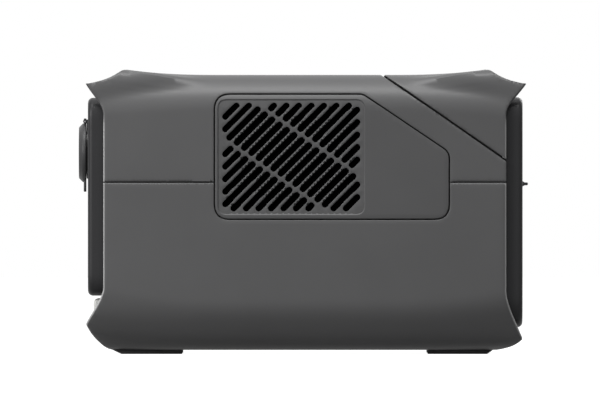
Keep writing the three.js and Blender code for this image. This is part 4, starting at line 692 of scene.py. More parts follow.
# %% Moulded grain group
def build_grain():
    """Fine bumps as a normal and a roughness: a small noise for the texture and a wide one for handling."""
    tree, source, sink = group_tree(
        "moulded grain",
        [
            ("Size", "NodeSocketFloat", 0.0006),
            ("Depth", "NodeSocketFloat", 0.00003),
            ("Roughness", "NodeSocketFloat", 0.5),
            ("Unevenness", "NodeSocketFloat", 0.05),
        ],
        [("Roughness", "NodeSocketFloat"), ("Normal", "NodeSocketVector"), ("Cloud", "NodeSocketFloat")],
    )
    place = add_node(tree, "ShaderNodeTexCoord")
    scale = math_node(tree, "DIVIDE", 1.0, source.outputs["Size"])
    fine = add_node(tree, "ShaderNodeTexNoise", [(place.outputs["Object"], "Vector"), (scale, "Scale")])
    fine.inputs["Detail"].default_value = 2
    wide = add_node(tree, "ShaderNodeTexNoise", [(place.outputs["Object"], "Vector")])
    wide.inputs["Scale"].default_value = 22
    wide.inputs["Detail"].default_value = 3
    middle = math_node(tree, "SUBTRACT", wide.outputs["Fac"], 0.5)
    swing = math_node(tree, "MULTIPLY", middle, source.outputs["Unevenness"])
    rough = math_node(tree, "ADD", source.outputs["Roughness"], swing)
    relief = [(fine.outputs["Fac"], "Height"), (source.outputs["Depth"], "Distance")]
    bump = add_node(tree, "ShaderNodeBump", relief)
    tree.links.new(rough, sink.inputs["Roughness"])
    tree.links.new(bump.outputs["Normal"], sink.inputs["Normal"])
    tree.links.new(wide.outputs["Fac"], sink.inputs["Cloud"])
    return tree


grain = build_grain()
print("node group:", grain.name)


# %% Plastic, metal and glass materials
def new_material(name):
    """A material with only its Principled shader and output."""
    material = bpy.data.materials.new(name)
    material.use_nodes = True
    return material, material.node_tree, material.node_tree.nodes["Principled BSDF"]


def plastic(name, colour, roughness, size=0.0006, depth=0.00003, cloud=0.08, specular=0.5, uneven=0.06):
    """Moulded plastic or rubber: grain from the group, and a colour that the cloud moves a little."""
    material, tree, shader = new_material(name)
    texture = tree.nodes.new("ShaderNodeGroup")
    texture.node_tree = grain
    texture.inputs["Size"].default_value = size
    texture.inputs["Depth"].default_value = depth
    texture.inputs["Roughness"].default_value = roughness
    texture.inputs["Unevenness"].default_value = uneven
    mix = add_node(tree, "ShaderNodeMix", [(texture.outputs["Cloud"], "Factor")], data_type="RGBA")
    low, high = [v * (1 - cloud) for v in colour], [v * (1 + cloud) for v in colour]
    mix.inputs[6].default_value = (*low, 1)
    mix.inputs[7].default_value = (*high, 1)
    tree.links.new(mix.outputs[2], shader.inputs["Base Color"])
    tree.links.new(texture.outputs["Roughness"], shader.inputs["Roughness"])
    tree.links.new(texture.outputs["Normal"], shader.inputs["Normal"])
    shader.inputs["Specular IOR Level"].default_value = specular
    return material


def metal(name, colour, roughness, size=0.0004, depth=0.00001):
    """Bare metal: the plastic's grain, finer, on a metallic shader."""
    material = plastic(name, colour, roughness, size, depth, cloud=0.04)
    material.node_tree.nodes["Principled BSDF"].inputs["Metallic"].default_value = 1
    return material


def add_painted_highlight(material, attribute, colour):
    """Paints a highlight: mixes a lighter colour in where the piece's own attribute marks a thin edge that
    catches the light.
    """
    tree = material.node_tree
    shader = tree.nodes["Principled BSDF"]
    under = shader.inputs["Base Color"].links[0].from_socket
    mark = tree.nodes.new("ShaderNodeAttribute")
    mark.attribute_name = attribute
    mix = add_node(tree, "ShaderNodeMix", [(mark.outputs["Fac"], "Factor")], data_type="RGBA")
    tree.links.new(under, mix.inputs[6])
    mix.inputs[7].default_value = (*colour, 1)
    tree.links.new(mix.outputs[2], shader.inputs["Base Color"])


case_grey = plastic("case grey", (0.07, 0.07, 0.071), 0.4, specular=0.17)
# Painted highlight: the rims of the case pieces get a light grey, a thin line of light along each edge
add_painted_highlight(case_grey, "painted_rim_highlight", (0.4, 0.4, 0.4))
panel_grey = plastic("panel grey", (0.066, 0.066, 0.067), 0.42, specular=0.16)
lid_grey = plastic("lid grey", (0.036, 0.036, 0.037), 0.42, specular=0.22)
lid_black = plastic("lid black", (0.012, 0.012, 0.013), 0.5)
# Painted shade: a matte black with no gloss, for the sheets that stand for the shade behind the grilles
painted_shade_black = plastic("painted shade black", (0.001, 0.001, 0.001), 1.0, specular=0.0)
panel_dark = plastic("panel dark", (0.018, 0.018, 0.019), 0.42, specular=0.16)
black_plastic = plastic("black plastic", (0.012, 0.012, 0.013), 0.4, specular=0.3)
# Near black: the fans' own black made darker as painted shade inside the case, and painted shade on the
# case-plastic ledges behind the gaps
black_and_painted_shade = plastic("black and painted shade", (0.004, 0.004, 0.004), 0.8)
button_grey = plastic("button grey", (0.055, 0.055, 0.057), 0.4)
foot_rubber = plastic("foot rubber", (0.045, 0.045, 0.046), 0.75, 0.001, 0.00008)
cover_rubber = plastic("cover rubber", (0.026, 0.026, 0.027), 0.65, 0.0008, 0.00005)
lamp_white = plastic("lamp diffuser", (0.66, 0.66, 0.64), 0.3, cloud=0.02)
window_dark = plastic("smoked window", (0.006, 0.006, 0.008), 0.06, depth=0.0, uneven=0.02)
steel = metal("zinc steel", (0.46, 0.46, 0.47), 0.35)
aluminium = metal("aluminium", (0.6, 0.6, 0.61), 0.4)
board_green = plastic("board green", (0.01, 0.085, 0.04), 0.35)
cable_red = plastic("cable red", (0.32, 0.012, 0.01), 0.5)
cable_black = plastic("cable black", (0.012, 0.012, 0.013), 0.5)
print("materials:", len(bpy.data.materials))

# %% [markdown]
# ## The CAD nodes that stay
# Parts whose solid already has the right shape keep it, and only get their finish. Most of them are
# inside and are seen through the grille at best.

# %% Finish of the CAD nodes
slot_materials = {
    "case_plastic": case_grey,
    "panel_plastic": panel_dark,
    "black_plastic": black_plastic,
    "button_plastic": button_grey,
    "lamp_plastic": lamp_white,
    "dark_window": window_dark,
    "foot_rubber": foot_rubber,
    "cover_rubber": cover_rubber,
    "aluminium_sheet": aluminium,
    "cell_can": aluminium,
    "steel": steel,
    "circuit_board": board_green,
    "red_cable": cable_red,
    "black_cable": cable_black,
}
for entry in frame["record"]["subparts"]:
    node = frame["nodes"][entry["node"]]
    node.data.materials.clear()
    node.data.materials.append(slot_materials[entry["material_slot"]])
# The fans are black plastic; their near black is partly painted shade inside the case
for name in ("fan_frame_right", "fan_frame_left", "fan_rotor_right", "fan_rotor_left"):
    frame["nodes"][name].data.materials[0] = black_and_painted_shade
print("CAD nodes with a finish:", len(frame["nodes"]))

# %% [markdown]
# ## The case shells
# Each shell is its stretch of the skin with the openings for the side panels. Under the seam runs a lip,
# as in every clamshell case: it keeps dust and light out. The same kind of ledge carries the side panels.

# %% Lower and upper shell
shell_spacing = 2.2
skin_piece(
    "lower_shell",
    way_line(-seam_gap / 2, -2 * bottom_half + seam_gap / 2)[::-1],
    front_rim,
    rear_rim,
    [opening_way, far_opening_low],
    (rim_round, rim_round, edge_round),
    (case_grey, "case_plastic", "lower_case"),
)


def before_handle(s):
    """Rear edge of the upper shell: the handle's seam, or the rim where that comes first."""
    return np.minimum(handle_seam(s, -handle_gap / 2), rear_rim(s))


skin_piece(
    "upper_shell",
    way_line(seam_gap / 2, 2 * top_half - seam_gap / 2),
    front_rim,
    before_handle,
    [opening_way, far_opening],
    (rim_round, edge_round, edge_round),
    (case_grey, "case_plastic", "upper_case"),
    shell_spacing,
)

# %% Ledges behind the gaps
ledge_inset, ledge_thickness, ledge_reach = wall + 0.2, 1.2, 3.2
lip_margin, lip_step = 2, 4


def band(name, near_line, far_line, closed, side=1):
    """Thick band of the skin's inner side between two lines of (x, s): four faces round."""
    corners = [(near_line, ledge_inset), (far_line, ledge_inset)]
    corners += [(far_line, ledge_inset + ledge_thickness), (near_line, ledge_inset + ledge_thickness)]
    rows = np.stack([skin(line[:, 0], line[:, 1], inset) for line, inset in corners]) * np.array([1, side, 1])
    faces = grid_faces(4, len(near_line), True, closed).tolist()
    if not closed:
        last = len(near_line) - 1
        faces += [[k * (last + 1) for k in range(4)], [k * (last + 1) + last for k in range(4)]]
    # The ledge is case plastic, coloured near black as painted shade in the gap
    finish_piece(close_piece(make_piece(name, rows.reshape(-1, 3), faces)), black_and_painted_shade, "case_plastic")


def add_ledge(name, low_line, high_line, closed=False):
    """A band behind a gap of the near wall, and its twin on the far wall."""
    for hand, side in (("right", 1), ("left", -1)):
        band(f"{name}_{hand}", on_wall(low_line), on_wall(high_line), closed, side)


seam_stretches = (
    ("front", front_rim(0.0) + lip_margin, panel_front - ledge_reach),
    ("rear", panel_rear + ledge_reach, rear_rim(0.0) - lip_margin),
)
for label, start, end in seam_stretches:
    stations = np.linspace(start, end, int((end - start) / lip_step))
    heights = (seam_z - ledge_reach, seam_z + ledge_reach)
    add_ledge(f"seam_lip_{label}", *[np.stack([stations, np.full(len(stations), z)], -1) for z in heights])
add_ledge("panel_ledge", *[offset_line(opening_line, reach) for reach in (ledge_reach, -ledge_reach)], True)

# %% [markdown]
# ## Side panels
# The panel is the same skin again, so it lies flush. Its grille field is let in by less than a millimetre,
# and rows of slots at 45 degrees run across it. Two ribs cut the slots where the real panel has its webs.

# %% Grille outlines
grille_front, grille_rear, grille_bottom, grille_top = -60.3, 40.2, 95.9, 174.7
grille_corner, grille_depth = 6.2, 0.7
slot_width, slot_pitch = 4.4, 6.05
slot_side_margin, slot_end_margin = 2.9, 2.0
slot_rib_width, slot_rib_angle, slot_rib_offset = 1.4, -35, 20
slot_least = 1.5
diagonal = math.sqrt(0.5)
grille_x, grille_z = (grille_front + grille_rear) / 2, (grille_bottom + grille_top) / 2


def slot_line(x, z, start, end, radius, steps=7, spacing=3):
    """Slot along a 45 degree line through (x, z), between two distances along x."""
    t = np.linspace(-math.pi / 4, 0.75 * math.pi, steps)
    far = np.stack([x + end + radius * np.cos(t), z + end + radius * np.sin(t)], -1)
    near = np.stack([x + start - radius * np.cos(t), z + start - radius * np.sin(t)], -1)
    return resample(np.concatenate([far, near]), spacing)


def slot_lines():
    """All slots of the grille: a 45 degree row, cut to the field and broken at the two ribs."""
    half_x = (grille_rear - grille_front) / 2 - slot_side_margin - slot_width / 2
    half_z = (grille_top - grille_bottom) / 2 - slot_end_margin - slot_width / 2
    slope = math.tan(math.radians(slot_rib_angle))
    reach = (slot_rib_width + slot_width) / 2 / math.cos(math.radians(45 + slot_rib_angle)) * diagonal
    pairs = math.floor((half_x + half_z) * diagonal / slot_pitch + 0.5)
    lines = []
    for i in range(-pairs, pairs):
        shift = (i + 0.5) * slot_pitch * diagonal
        start, end = max(-half_x - shift, -half_z + shift), min(half_x - shift, half_z + shift)
        breaks = [(rib + shift * (1 + slope)) / (1 - slope) for rib in (-slot_rib_offset, slot_rib_offset)]
        ends = [start] + [v for at in breaks if start < at < end for v in (at - reach, at + reach)] + [end]
        for low, high in zip(ends[::2], ends[1::2]):
            if (high - low) * math.sqrt(2) > slot_least:
                lines.append(slot_line(grille_x + shift, grille_z - shift, low, high, slot_width / 2))
    return lines


slots = slot_lines()
field_line = rounded_box(grille_front, grille_rear, grille_bottom, grille_top, grille_corner, 2)
print("slots and parts of slots:", len(slots))

# %% Side panels
slot_round, slot_ring_shares = 0.35, (0.3, 1)
field_step = 0.35
panel_spacing, panel_clear = 4, 1.0


def side_panel(name, side, node):
    """The panel as a piece of skin over (x, z): round outer edge, stepped field, slots with broken edges."""
    outline = offset_line(panel_line, -panel_gap / 2)

    def depths(points):
        return [-line_distance(outline, points)] + [line_distance(slot, points) for slot in slots]

    def keep(points):
        return np.min(depths(points), axis=0) > just_inside

    rings = [offset_line(outline, -share * edge_round) for share in ring_shares]
    rings += [offset_line(slot, share * slot_round) for slot in slots for share in slot_ring_shares]
    rings += [offset_line(field_line, shift) for shift in (-field_step, 0, field_step)]
    points, faces = fill_outline([outline, *slots], keep, rings, panel_spacing, panel_clear)
    gaps = depths(points)
    sink = np.maximum(round_over(gaps[0], edge_round), round_over(np.min(gaps[1:], axis=0), slot_round))
    sink = sink + grille_depth * smooth_step(-line_distance(field_line, points), -field_step, field_step)
    place = skin(points[:, 0], way_at(points[:, 0], points[:, 1]), sink)
    place[:, 1] *= -side
    piece = make_piece(name, place, faces)
    outward_check(piece)
    finish_piece(add_wall(piece, wall - grille_depth), panel_grey, "case_plastic", node)


side_panel("panel_right", -1, "side_panel_right")
side_panel("panel_left", 1, "side_panel_left")

# %% [markdown]
# Behind each grille lies a matte black sheet of painted shade, so the slots look empty and the cells inside
# aren't seen.

# %% Sheets of painted shade behind the grilles
screen_y, screen_grow = half_width - wall - 0.5, 0.8
screen_profile = (0.1, 0.6)
screen_line = offset_line(field_line, screen_grow)
for side, hand in ((-1, "right"), (1, "left")):
    screen_finish = (painted_shade_black, "black_plastic")
    plate(f"shade_sheet_{hand}", [screen_line], [screen_profile], towards_side(screen_y, side), screen_finish)

# %% [markdown]
# ## Carry handle
# The handle is the rear top of the skin, behind its diagonal seam. A hand hole goes through its cover,
# and the bar behind the hole is the grip.

# %% Handle skin and grip
hand_front, grip_front, hand_half, hand_corner, hand_round = 84.0, 112.0, 52.0, 5, 1.4
grip_rear, grip_bottom, grip_low_corner, grip_top_corner = 124.35, 174.0, 5.0, 1
grip_half, grip_drop, grip_edge = hand_half + 2.8, 1.2, 0.5
handle_clear = 0.4
handle_finish = (case_grey, "case_plastic", "carry_handle")


def seam_end():
    """The way at which the handle's seam runs into the rear rim, by halving an interval."""
    low, high = seam_gap, top_side
    for _ in range(40):
        middle = (low + high) / 2
        beyond = handle_seam(middle, handle_gap / 2) > rear_rim(middle)
        low, high = (middle, high) if beyond else (low, middle)
    return high


def cover_way(x, y):
    """The way of a point of the flat cover, from its distance to the middle."""
    return top_half + top_flat * y / (half_width - edge_form(x, True)[0])


def handle_front_edge(s):
    """Front edge of the handle: the rear side of its seam."""
    return handle_seam(s, handle_gap / 2)


handle_start = seam_end() + handle_clear
handle_end = 2 * top_half - handle_start
hand_line = rounded_box(hand_front, grip_front, -hand_half, hand_half, hand_corner, 2)
hand_way = np.stack([hand_line[:, 0], cover_way(hand_line[:, 0], hand_line[:, 1])], -1)
skin_piece(
    "handle_skin",
    way_line(handle_start, handle_end),
    handle_front_edge,
    rear_rim,
    [hand_way],
    (edge_round, rim_round, hand_round),
    handle_finish,
    shell_spacing,
)

grip_top = float(skin(grip_front, top_half)[2]) - grip_drop
grip_line = rounded_line(
    [
        (grip_front, grip_bottom, grip_low_corner),
        (grip_rear, grip_bottom, grip_low_corner),
        (grip_rear, grip_top, grip_top_corner),
        (grip_front, grip_top, grip_top_corner),
    ],
    4,
)
plate("handle_grip", [grip_line], [(grip_edge, 2 * grip_half)], towards_side(grip_half, -1), handle_finish)

lap_way = np.arange(handle_start + 2, handle_end - 2, 2.0)
lap_lines = [np.stack([handle_seam(lap_way, reach), lap_way], -1) for reach in (-ledge_reach, ledge_reach)]
band("handle_lap", *lap_lines, False)

# %% [markdown]
# ## Front panel
# The front panel is a dark cup that stands in the front opening of the tube. Round it lies a flange, deep
# in the recess, and in that flange sits the lamp bar.

# %% Front panel with its holes
front_face, flange_front, flange_thickness = -149.5, -121.2, 2.5
front_bottom, front_top, panel_half = 40.2, 176.0, 98.4
panel_corner, panel_edge, panel_wall, hole_edge = 14.0, 3.4, 2.4, 0.35
socket_y, socket_z, socket_radius = -66.0, 138.3, 14.0
outlet_z, outlet_y, outlet_outer = 74.0, (-62.0, -8.0), 21.7
display, display_corner = (-24.0, 88.0, 118.0, 164.0), 6.0
button_z, button_y, button_half, button_corner = 103.0, (22.0, 51.0, 80.0), (7.5, 4.0), 3.8
power_y, power_z, power_radius = 78.0, 62.3, 8.9
usb_y, usb_z, usb_half, usb_hole_corner = 40.0, 69.0, (16.0, 20.0), 3
lamp_box, lamp_corner, lamp_edge, lamp_face, lamp_depth = (-70, 70, 29.8, 37.7), 2.4, 1.6, -145.75, 26
fit = 0.3
flange_gap, flange_spacing, flange_profile = 0.5, 20, (0.2, flange_thickness)
front_finish = (panel_dark, "panel_plastic", "front_panel")

panel_outline = rounded_box(-panel_half, panel_half, front_bottom, front_top, panel_corner, 5)
window_line = rounded_box(*display, display_corner)
front_holes = [circle(socket_y, socket_z, socket_radius + fit), circle(power_y, power_z, power_radius + fit)]
front_holes += [circle(y, outlet_z, outlet_outer + fit) for y in outlet_y]
front_holes += [box_round(y, button_z, *button_half, button_corner, fit) for y in button_y]
front_holes += [box_round(usb_y, usb_z, *usb_half, usb_hole_corner, fit), offset_line(window_line, fit)]
front_profiles = [cup(panel_edge, flange_front - front_face + flange_thickness, panel_wall)]
front_profiles += [(hole_edge, panel_wall)] * len(front_holes)
front_loops = [panel_outline, *front_holes]
plate("front_cup", front_loops, front_profiles, towards_front(front_face), front_finish, spacing=10)


def section_line(x, inset, spacing=6, every=4, short=0.01):
    """The case's section at a station as a closed line of (y, z)."""
    low = way_line(-short, -2 * bottom_half + short)[::every]
    high = way_line(2 * top_half - short, short)[::every]
    points = np.concatenate([skin(x, low, inset), skin(x, high, inset)])[:, 1:]
    return resample(points, spacing)


lamp_line = rounded_box(*lamp_box, lamp_corner)
flange_loops = [section_line(flange_front, wall + flange_gap)]
flange_loops += [offset_line(panel_outline, -panel_wall / 2), offset_line(lamp_line, fit)]
flange_place = towards_front(flange_front)
plate("front_flange", flange_loops, [flange_profile] * 3, flange_place, front_finish, spacing=flange_spacing)
lamp_finish = (lamp_white, "lamp_plastic", "lamp_bar")
plate("lamp_bar_lens", [lamp_line], [(lamp_edge, lamp_depth)], towards_front(lamp_face), lamp_finish)

# %% [markdown]
# ## Rear panel
# The rear panel is the same kind of cup with a notch at its top for the hand, and a bay for the inlets.

# %% Rear panel
rear_face, rear_flange = 148.5, 118.4
rear_bottom, rear_top, rear_low_corner = 18.5, 176.4, 22
notch_half, notch_bottom, notch_low_corner, notch_top_corner = 56.0, 144.0, 3, 3.5
bay_half, bay_bottom, bay_top, bay_depth, bay_corner = 42.0, 73.0, 122.0, 3.3, 6
bay_edge, bay_overlap, inlet_edge = 0.4, 1.2, 0.3
ac_inlet, ac_inlet_half, ac_inlet_corner = (-20, 96), (13.5, 10), 2
dc_inlet, dc_inlet_radius = (22, 96), 8
rear_finish = (panel_dark, "panel_plastic", "rear_panel")

rear_half = [
    (panel_half, rear_bottom, rear_low_corner),
    (panel_half, rear_top, panel_corner),
    (notch_half, rear_top, notch_top_corner),
    (notch_half, notch_bottom, notch_low_corner),
]
rear_corners = [(-panel_half, rear_bottom, rear_low_corner), *rear_half]
rear_corners += [(-y, z, radius) for y, z, radius in rear_half[:0:-1]]
rear_outline = rounded_line(rear_corners, 5, 9)
bay_line = rounded_box(-bay_half, bay_half, bay_bottom, bay_top, bay_corner)
rear_depth = rear_face - rear_flange + flange_thickness
rear_profiles = [cup(panel_edge, rear_depth, panel_wall), (bay_edge, panel_wall)]
plate("rear_cup", [rear_outline, bay_line], rear_profiles, towards_rear(rear_face), rear_finish, spacing=10)

inlet_lines = [box_round(*ac_inlet, *ac_inlet_half, ac_inlet_corner), circle(*dc_inlet, dc_inlet_radius, 48)]
bay_loops = [offset_line(bay_line, bay_overlap)] + [offset_line(line, fit) for line in inlet_lines]
bay_profiles = [(0.1, panel_wall)] + [(inlet_edge, panel_wall)] * 2
plate("bay_floor", bay_loops, bay_profiles, towards_rear(rear_face - bay_depth), rear_finish)

flange_loops = [section_line(rear_flange, wall + flange_gap), offset_line(rear_outline, -panel_wall / 2)]
flange_place = towards_rear(rear_flange)
plate("rear_flange", flange_loops, [flange_profile] * 2, flange_place, rear_finish, spacing=flange_spacing)

# %% [markdown]
# ## Socket lid
# The lid is a thin plate with a hinge tongue above, a finger tab below and a round block on it.

# %% Lid
lid_front, lid_block_face, lid_edge, lid_thickness, lid_back_edge = -152.6, -155.9, 0.5, 1.7, 0.3
plate_radius, block_radius = 20.4, 20.2
tongue_half, tongue_top, tongue_chamfer = 6.0, 161.9, 0.6
tab_half, tab_bottom, tab_corner = 7.5, 111.5, 2.6
ear_room = 157.55
arc_overrun, arc_steps, tab_overlap = 0.02, 30, 0.5
block_insets = (5, 3.1, 2.7, 2.3, 0.4, 0.09, 0, 0)
block_depths = (0, 0, 0.12, 0.45, 2.3, 2.65, 3.05, 3.6)


def lid_arc(start, end):
    """Arc of the lid's plate between two angles."""
    t = np.linspace(start, end, arc_steps)
    return np.stack([plate_radius * np.cos(t), socket_z + plate_radius * np.sin(t)], -1)


def lid_outline():
    """Circle with a tongue above and a tab below, and flats beside the tongue for the hinge ears."""
    top_angle = math.asin((ear_room - socket_z) / plate_radius)
    tab_angle = math.acos(tab_half / plate_radius)
    left = lid_arc(math.pi - top_angle, math.pi + tab_angle + arc_overrun)
    right = lid_arc(-tab_angle - arc_overrun, top_angle)
    tab_corners = [(tab_half, socket_z, 0.01), (tab_half, tab_bottom, tab_corner)]
    tab_corners += [(-y, z, radius) for y, z, radius in tab_corners[::-1]]
    tab = round_corners(tab_corners)
    tab = tab[tab[:, 1] < socket_z - plate_radius * math.sin(tab_angle) - tab_overlap][::-1]
    tongue = [(tongue_half, ear_room), (tongue_half, tongue_top - tongue_chamfer)]
    tongue += [(tongue_half - tongue_chamfer, tongue_top)]
    tongue += [(-y, z) for y, z in tongue[::-1]]
    return resample(np.concatenate([tongue, left, tab, right]) + (socket_y, 0), 2)


plate(
    "lid_plate",
    [lid_outline()],
    [(lid_edge, lid_thickness, lid_back_edge)],
    towards_front(lid_front),
    (lid_black, "black_plastic", "car_socket_lid"),
    "socket_lid",
)
plate(
    "lid_block",
    [circle(socket_y, socket_z, block_radius, 96)],
    [np.stack([block_insets, block_depths], -1)],
    towards_front(lid_block_face),
    (lid_grey, "black_plastic", "car_socket_lid"),
    "socket_lid",
)

# %% [markdown]
# ## Feet
# Each foot is a flat rubber block whose outer end slopes in to the ground.

# %% Feet
foot_y, foot_half, foot_corner, foot_edge = 50, 15, 1.5, 0.4
foot_ends = (("front", -132.9, -126.7, -85.1), ("rear", 128.5, 124.6, 83.7))


def foot_place(root_x, tip, inner):
    """Stations are stretched towards the root as the depth grows from the ground up, so the end slopes."""

    def place(flat, depth):
        share = (flat[:, 0] - inner) / (tip - inner)
        return np.stack([flat[:, 0] + share * (root_x - tip) * depth / bottom_z, flat[:, 1], depth], -1)

    return place


for end, *stations in foot_ends:
    for side, hand in ((-1, "right"), (1, "left")):
        low_x, high_x = sorted(stations[1:])
        low_y, high_y = side * foot_y - foot_half, side * foot_y + foot_half
        foot_line = rounded_box(low_x, high_x, low_y, high_y, foot_corner)
        foot_finish = (foot_rubber, "foot_rubber", f"foot_{end}_{hand}")
        place = foot_place(*stations)
        plate(f"foot_{end}_{hand}_pad", [foot_line], [(foot_edge, bottom_z)], place, foot_finish)

# %% [markdown]
# ## Display, buttons and ports
# The front carries a smoked window, four buttons that press in, and the outlets. Buttons ride on bodies of
# their own, so each is a cap with its stem behind it.

# %% Display window
glass_finish = (window_dark, "dark_window", "display_window")
plate("display_glass", [window_line], [(0.45, 1.5)], towards_front(front_face), glass_finish)

# %% Buttons
cap_depth, cap_edge, cap_side, power_dome = 3.9, 0.5, 2.7, 0.8
stem_radius, stem_end = 1.6, 9.1
keeper_grow, keeper_depth, keeper_corner = 1.2, 1.2, 1
light_radius, light_proud = 0.9, 0.05


def press_button(node, body, line, dome, stem_y, stem_z):
    """Cap with a slightly arched face, a flange that keeps it in, and a stem, on the button's body."""
    low, high = line.min(0), line.max(0)
    finish = (button_grey, "button_plastic", node)

    def arch(flat):
        """Rise of the face: a paraboloid over the cap's own width and height, nothing at its edge."""
        gap = -line_distance(line, flat) - cap_edge
        span = (high - low).min() / 2 - cap_edge
        share = np.clip(gap / span, 0, 1)
        return -dome * (1 - (1 - share) ** 2)

    plate(f"{node}_cap", [line], [(cap_edge, cap_side)], towards_front(front_face), finish, body, 1.2, arch)
    low, high = low - keeper_grow, high + keeper_grow
    keeper_line = rounded_box(low[0], high[0], low[1], high[1], keeper_corner)
    keeper_place = towards_front(front_face + cap_side)
    plate(f"{node}_keeper", [keeper_line], [(0.2, keeper_depth)], keeper_place, finish, body)
    stem_line = circle(stem_y, stem_z, stem_radius, 24)
    stem_profile = (0.3, stem_end - cap_depth)
    plate(f"{node}_stem", [stem_line], [stem_profile], towards_front(front_face + cap_depth), finish, body)


for y, key in zip(button_y, ("ac", "dc", "lamp")):
    node, body = f"{key}_button", f"{key}_key"
    pill = box_round(y, button_z, *button_half, button_corner, spacing=1.5)
    press_button(node, body, pill, 0.0, y, button_z)
    light_line, light_place = circle(y, button_z, light_radius, 20), towards_front(front_face - light_proud)
    light_finish = (lamp_white, "button_plastic", node)
    plate(f"{node}_light", [light_line], [(0.15, 0.6)], light_place, light_finish, body)
power_line = circle(power_y, power_z, power_radius)
press_button("power_button", "power_key", power_line, power_dome, power_y, power_z)

# %% [markdown]
# The ports are real cavities: a plastic face with openings, a folded steel shell in each, and the contact
# tongue inside.

# %% Ports
port_pitch, port_depth, port_face_thickness = 9.4, 10.0, 3.2
port_shell_gap, port_shell_inset, port_shell_start, port_shell_length = 0.02, 0.35, 0.5, 9.4
usb_corner, usb_body_grow = 2.7, 1.5
tongue_start, tongue_length, tongue_corner = 1.4, 8.8, 0.3
wide_port = {"size": (6.5, 2.8, 0.5), "tongue": (5.3, 0.9), "rise": 1.0}
slim_port = {"size": (4.5, 1.65, 1.6), "tongue": (3.2, 0.35), "rise": 0}
port_kinds = (wide_port, wide_port, slim_port, slim_port)
port_heights = [usb_z + (1.5 - i) * port_pitch for i in range(len(port_kinds))]
port_lines = [box_round(usb_y, z, *kind["size"], spacing=1.5) for z, kind in zip(port_heights, port_kinds)]
usb_line = box_round(usb_y, usb_z, *usb_half, usb_corner)
usb_finish = (black_plastic, "black_plastic", "usb_ports")
usb_profiles = [(0.4, port_face_thickness)] + [(0.3, port_face_thickness)] * len(port_kinds)
plate("usb_face", [usb_line, *port_lines], usb_profiles, towards_front(front_face), usb_finish, spacing=4)
usb_body_line = offset_line(usb_line, usb_body_grow)
plate("usb_body", [usb_body_line], [(0.3, 3)], towards_front(front_face + port_depth), usb_finish)
for i, (z, line, kind) in enumerate(zip(port_heights, port_lines, port_kinds), 1):
    plate(
        f"port_{i}_shell",
        [offset_line(line, -port_shell_gap), offset_line(line, -port_shell_inset)],
        [(0.1, port_shell_length)] * 2,
        towards_front(front_face + port_shell_start),
        (steel, "black_plastic", "usb_ports"),
        spacing=3,
    )
    tongue_line = box_round(usb_y, z + kind["rise"], *kind["tongue"], tongue_corner, spacing=2)
    tongue_place = towards_front(front_face + tongue_start)
    plate(f"port_{i}_tongue", [tongue_line], [(0.2, tongue_length)], tongue_place, usb_finish)

# %% [markdown]
# Each mains outlet is a round well with two pin holes in its floor and two sprung earth clips at its wall.

# %% Mains outlets
well_radius, well_depth, well_back = 19.5, 17.5, 29
well_wall_profiles = [(0.5, 19), (0.9, 19)]
well_floor_profiles = [(0.1, 3), (0.5, 3), (0.5, 3)]
well_floor_grow = 0.6
pin_radius, pin_spacing = 2.6, 19.0
clip_half, clip_height, clip_length, clip_corner, clip_sunk = 2.5, 2.4, 11.0, 0.6, 0.3
for number, y in enumerate(outlet_y, 1):
    node = f"ac_outlet_{number}"
    finish = (black_plastic, "black_plastic", node)
    wall_loops = [circle(y, outlet_z, radius, 96) for radius in (outlet_outer, well_radius)]
    plate(f"{node}_wall", wall_loops, well_wall_profiles, towards_front(front_face), finish, spacing=4)
    floor_loops = [circle(y, outlet_z, well_radius + well_floor_grow)]
    floor_loops += [circle(y + side * pin_spacing / 2, outlet_z, pin_radius, 28) for side in (-1, 1)]
    floor_place = towards_front(front_face + well_depth)
    plate(f"{node}_floor", floor_loops, well_floor_profiles, floor_place, finish, spacing=5)
    back_line = circle(y, outlet_z, outlet_outer, 48)
    plate(f"{node}_back", [back_line], [(0.3, 2)], towards_front(front_face + well_back), finish)
    for side, end in ((1, "upper"), (-1, "lower")):
        clip_z = outlet_z + side * (well_radius - clip_height / 2 + clip_sunk)
        clip_line = box_round(y, clip_z, clip_half, clip_height / 2, clip_corner, spacing=1.5)
        clip_place = towards_front(front_face + well_depth - clip_length)
        clip_profile = (clip_corner, clip_length)
        plate(f"{node}_{end}_clip", [clip_line], [clip_profile], clip_place, (steel, "steel", node))

# %% [markdown]
# ## Input cover
# A rubber flap closes the bay of the inlets. Its pull tab stands out of the rear face and is seen from the
# side. Both ride on the flap's hinge.

# %% Input cover
cover_half, cover_bottom, cover_thickness, cover_edge = 41.7, 75.9, 3.0, 0.7
cover_corner = bay_corner - fit
cover_finish = (cover_rubber, "cover_rubber", "input_cover")
cover_line = rounded_box(-cover_half, cover_half, cover_bottom, bay_top - fit, cover_corner)
cover_profile = (cover_edge, cover_thickness)
plate("cover_flap", [cover_line], [cover_profile], towards_rear(rear_face), cover_finish, "inlet_flap")
pull_z, pull_root, pull_tip, pull_tip_x, pull_half_y, pull_edge = 117.0, 4.9, 2.0, 153.2, 13.0, 0.5
pull_corners = [
    (rear_face - 1.5, pull_root / 2, 0.1),
    (rear_face + 0.2, pull_root / 2, 1.0),
    (rear_face + 2.4, pull_tip / 2, 1.0),
    (pull_tip_x, pull_tip / 2, 0.8),
]
pull_ring = [(x, pull_z - half, radius) for x, half, radius in pull_corners]
pull_ring += [(x, pull_z + half, radius) for x, half, radius in pull_corners[::-1]]
pull_profile = (pull_edge, 2 * pull_half_y, pull_edge)
pull_place = towards_side(pull_half_y, -1)
plate("cover_tab", [rounded_line(pull_ring, 1)], [pull_profile], pull_place, cover_finish, "inlet_flap", 3)

# %% [markdown]
# ## Stage and light
# The photograph was lit by a large soft light above and in front, with white all round. The floor and the
# world are white for the camera only; the light on the object comes from the lamps and a dim world.

# %% Floor, world and lamps
floor_corners = [(-6, -7, 0), (6, -7, 0), (6, 12, 0), (-6, 12, 0)]
floor_colour, floor_reflected, floor_strength = 0.2, 0.45, 0.97
world_light = 0.03


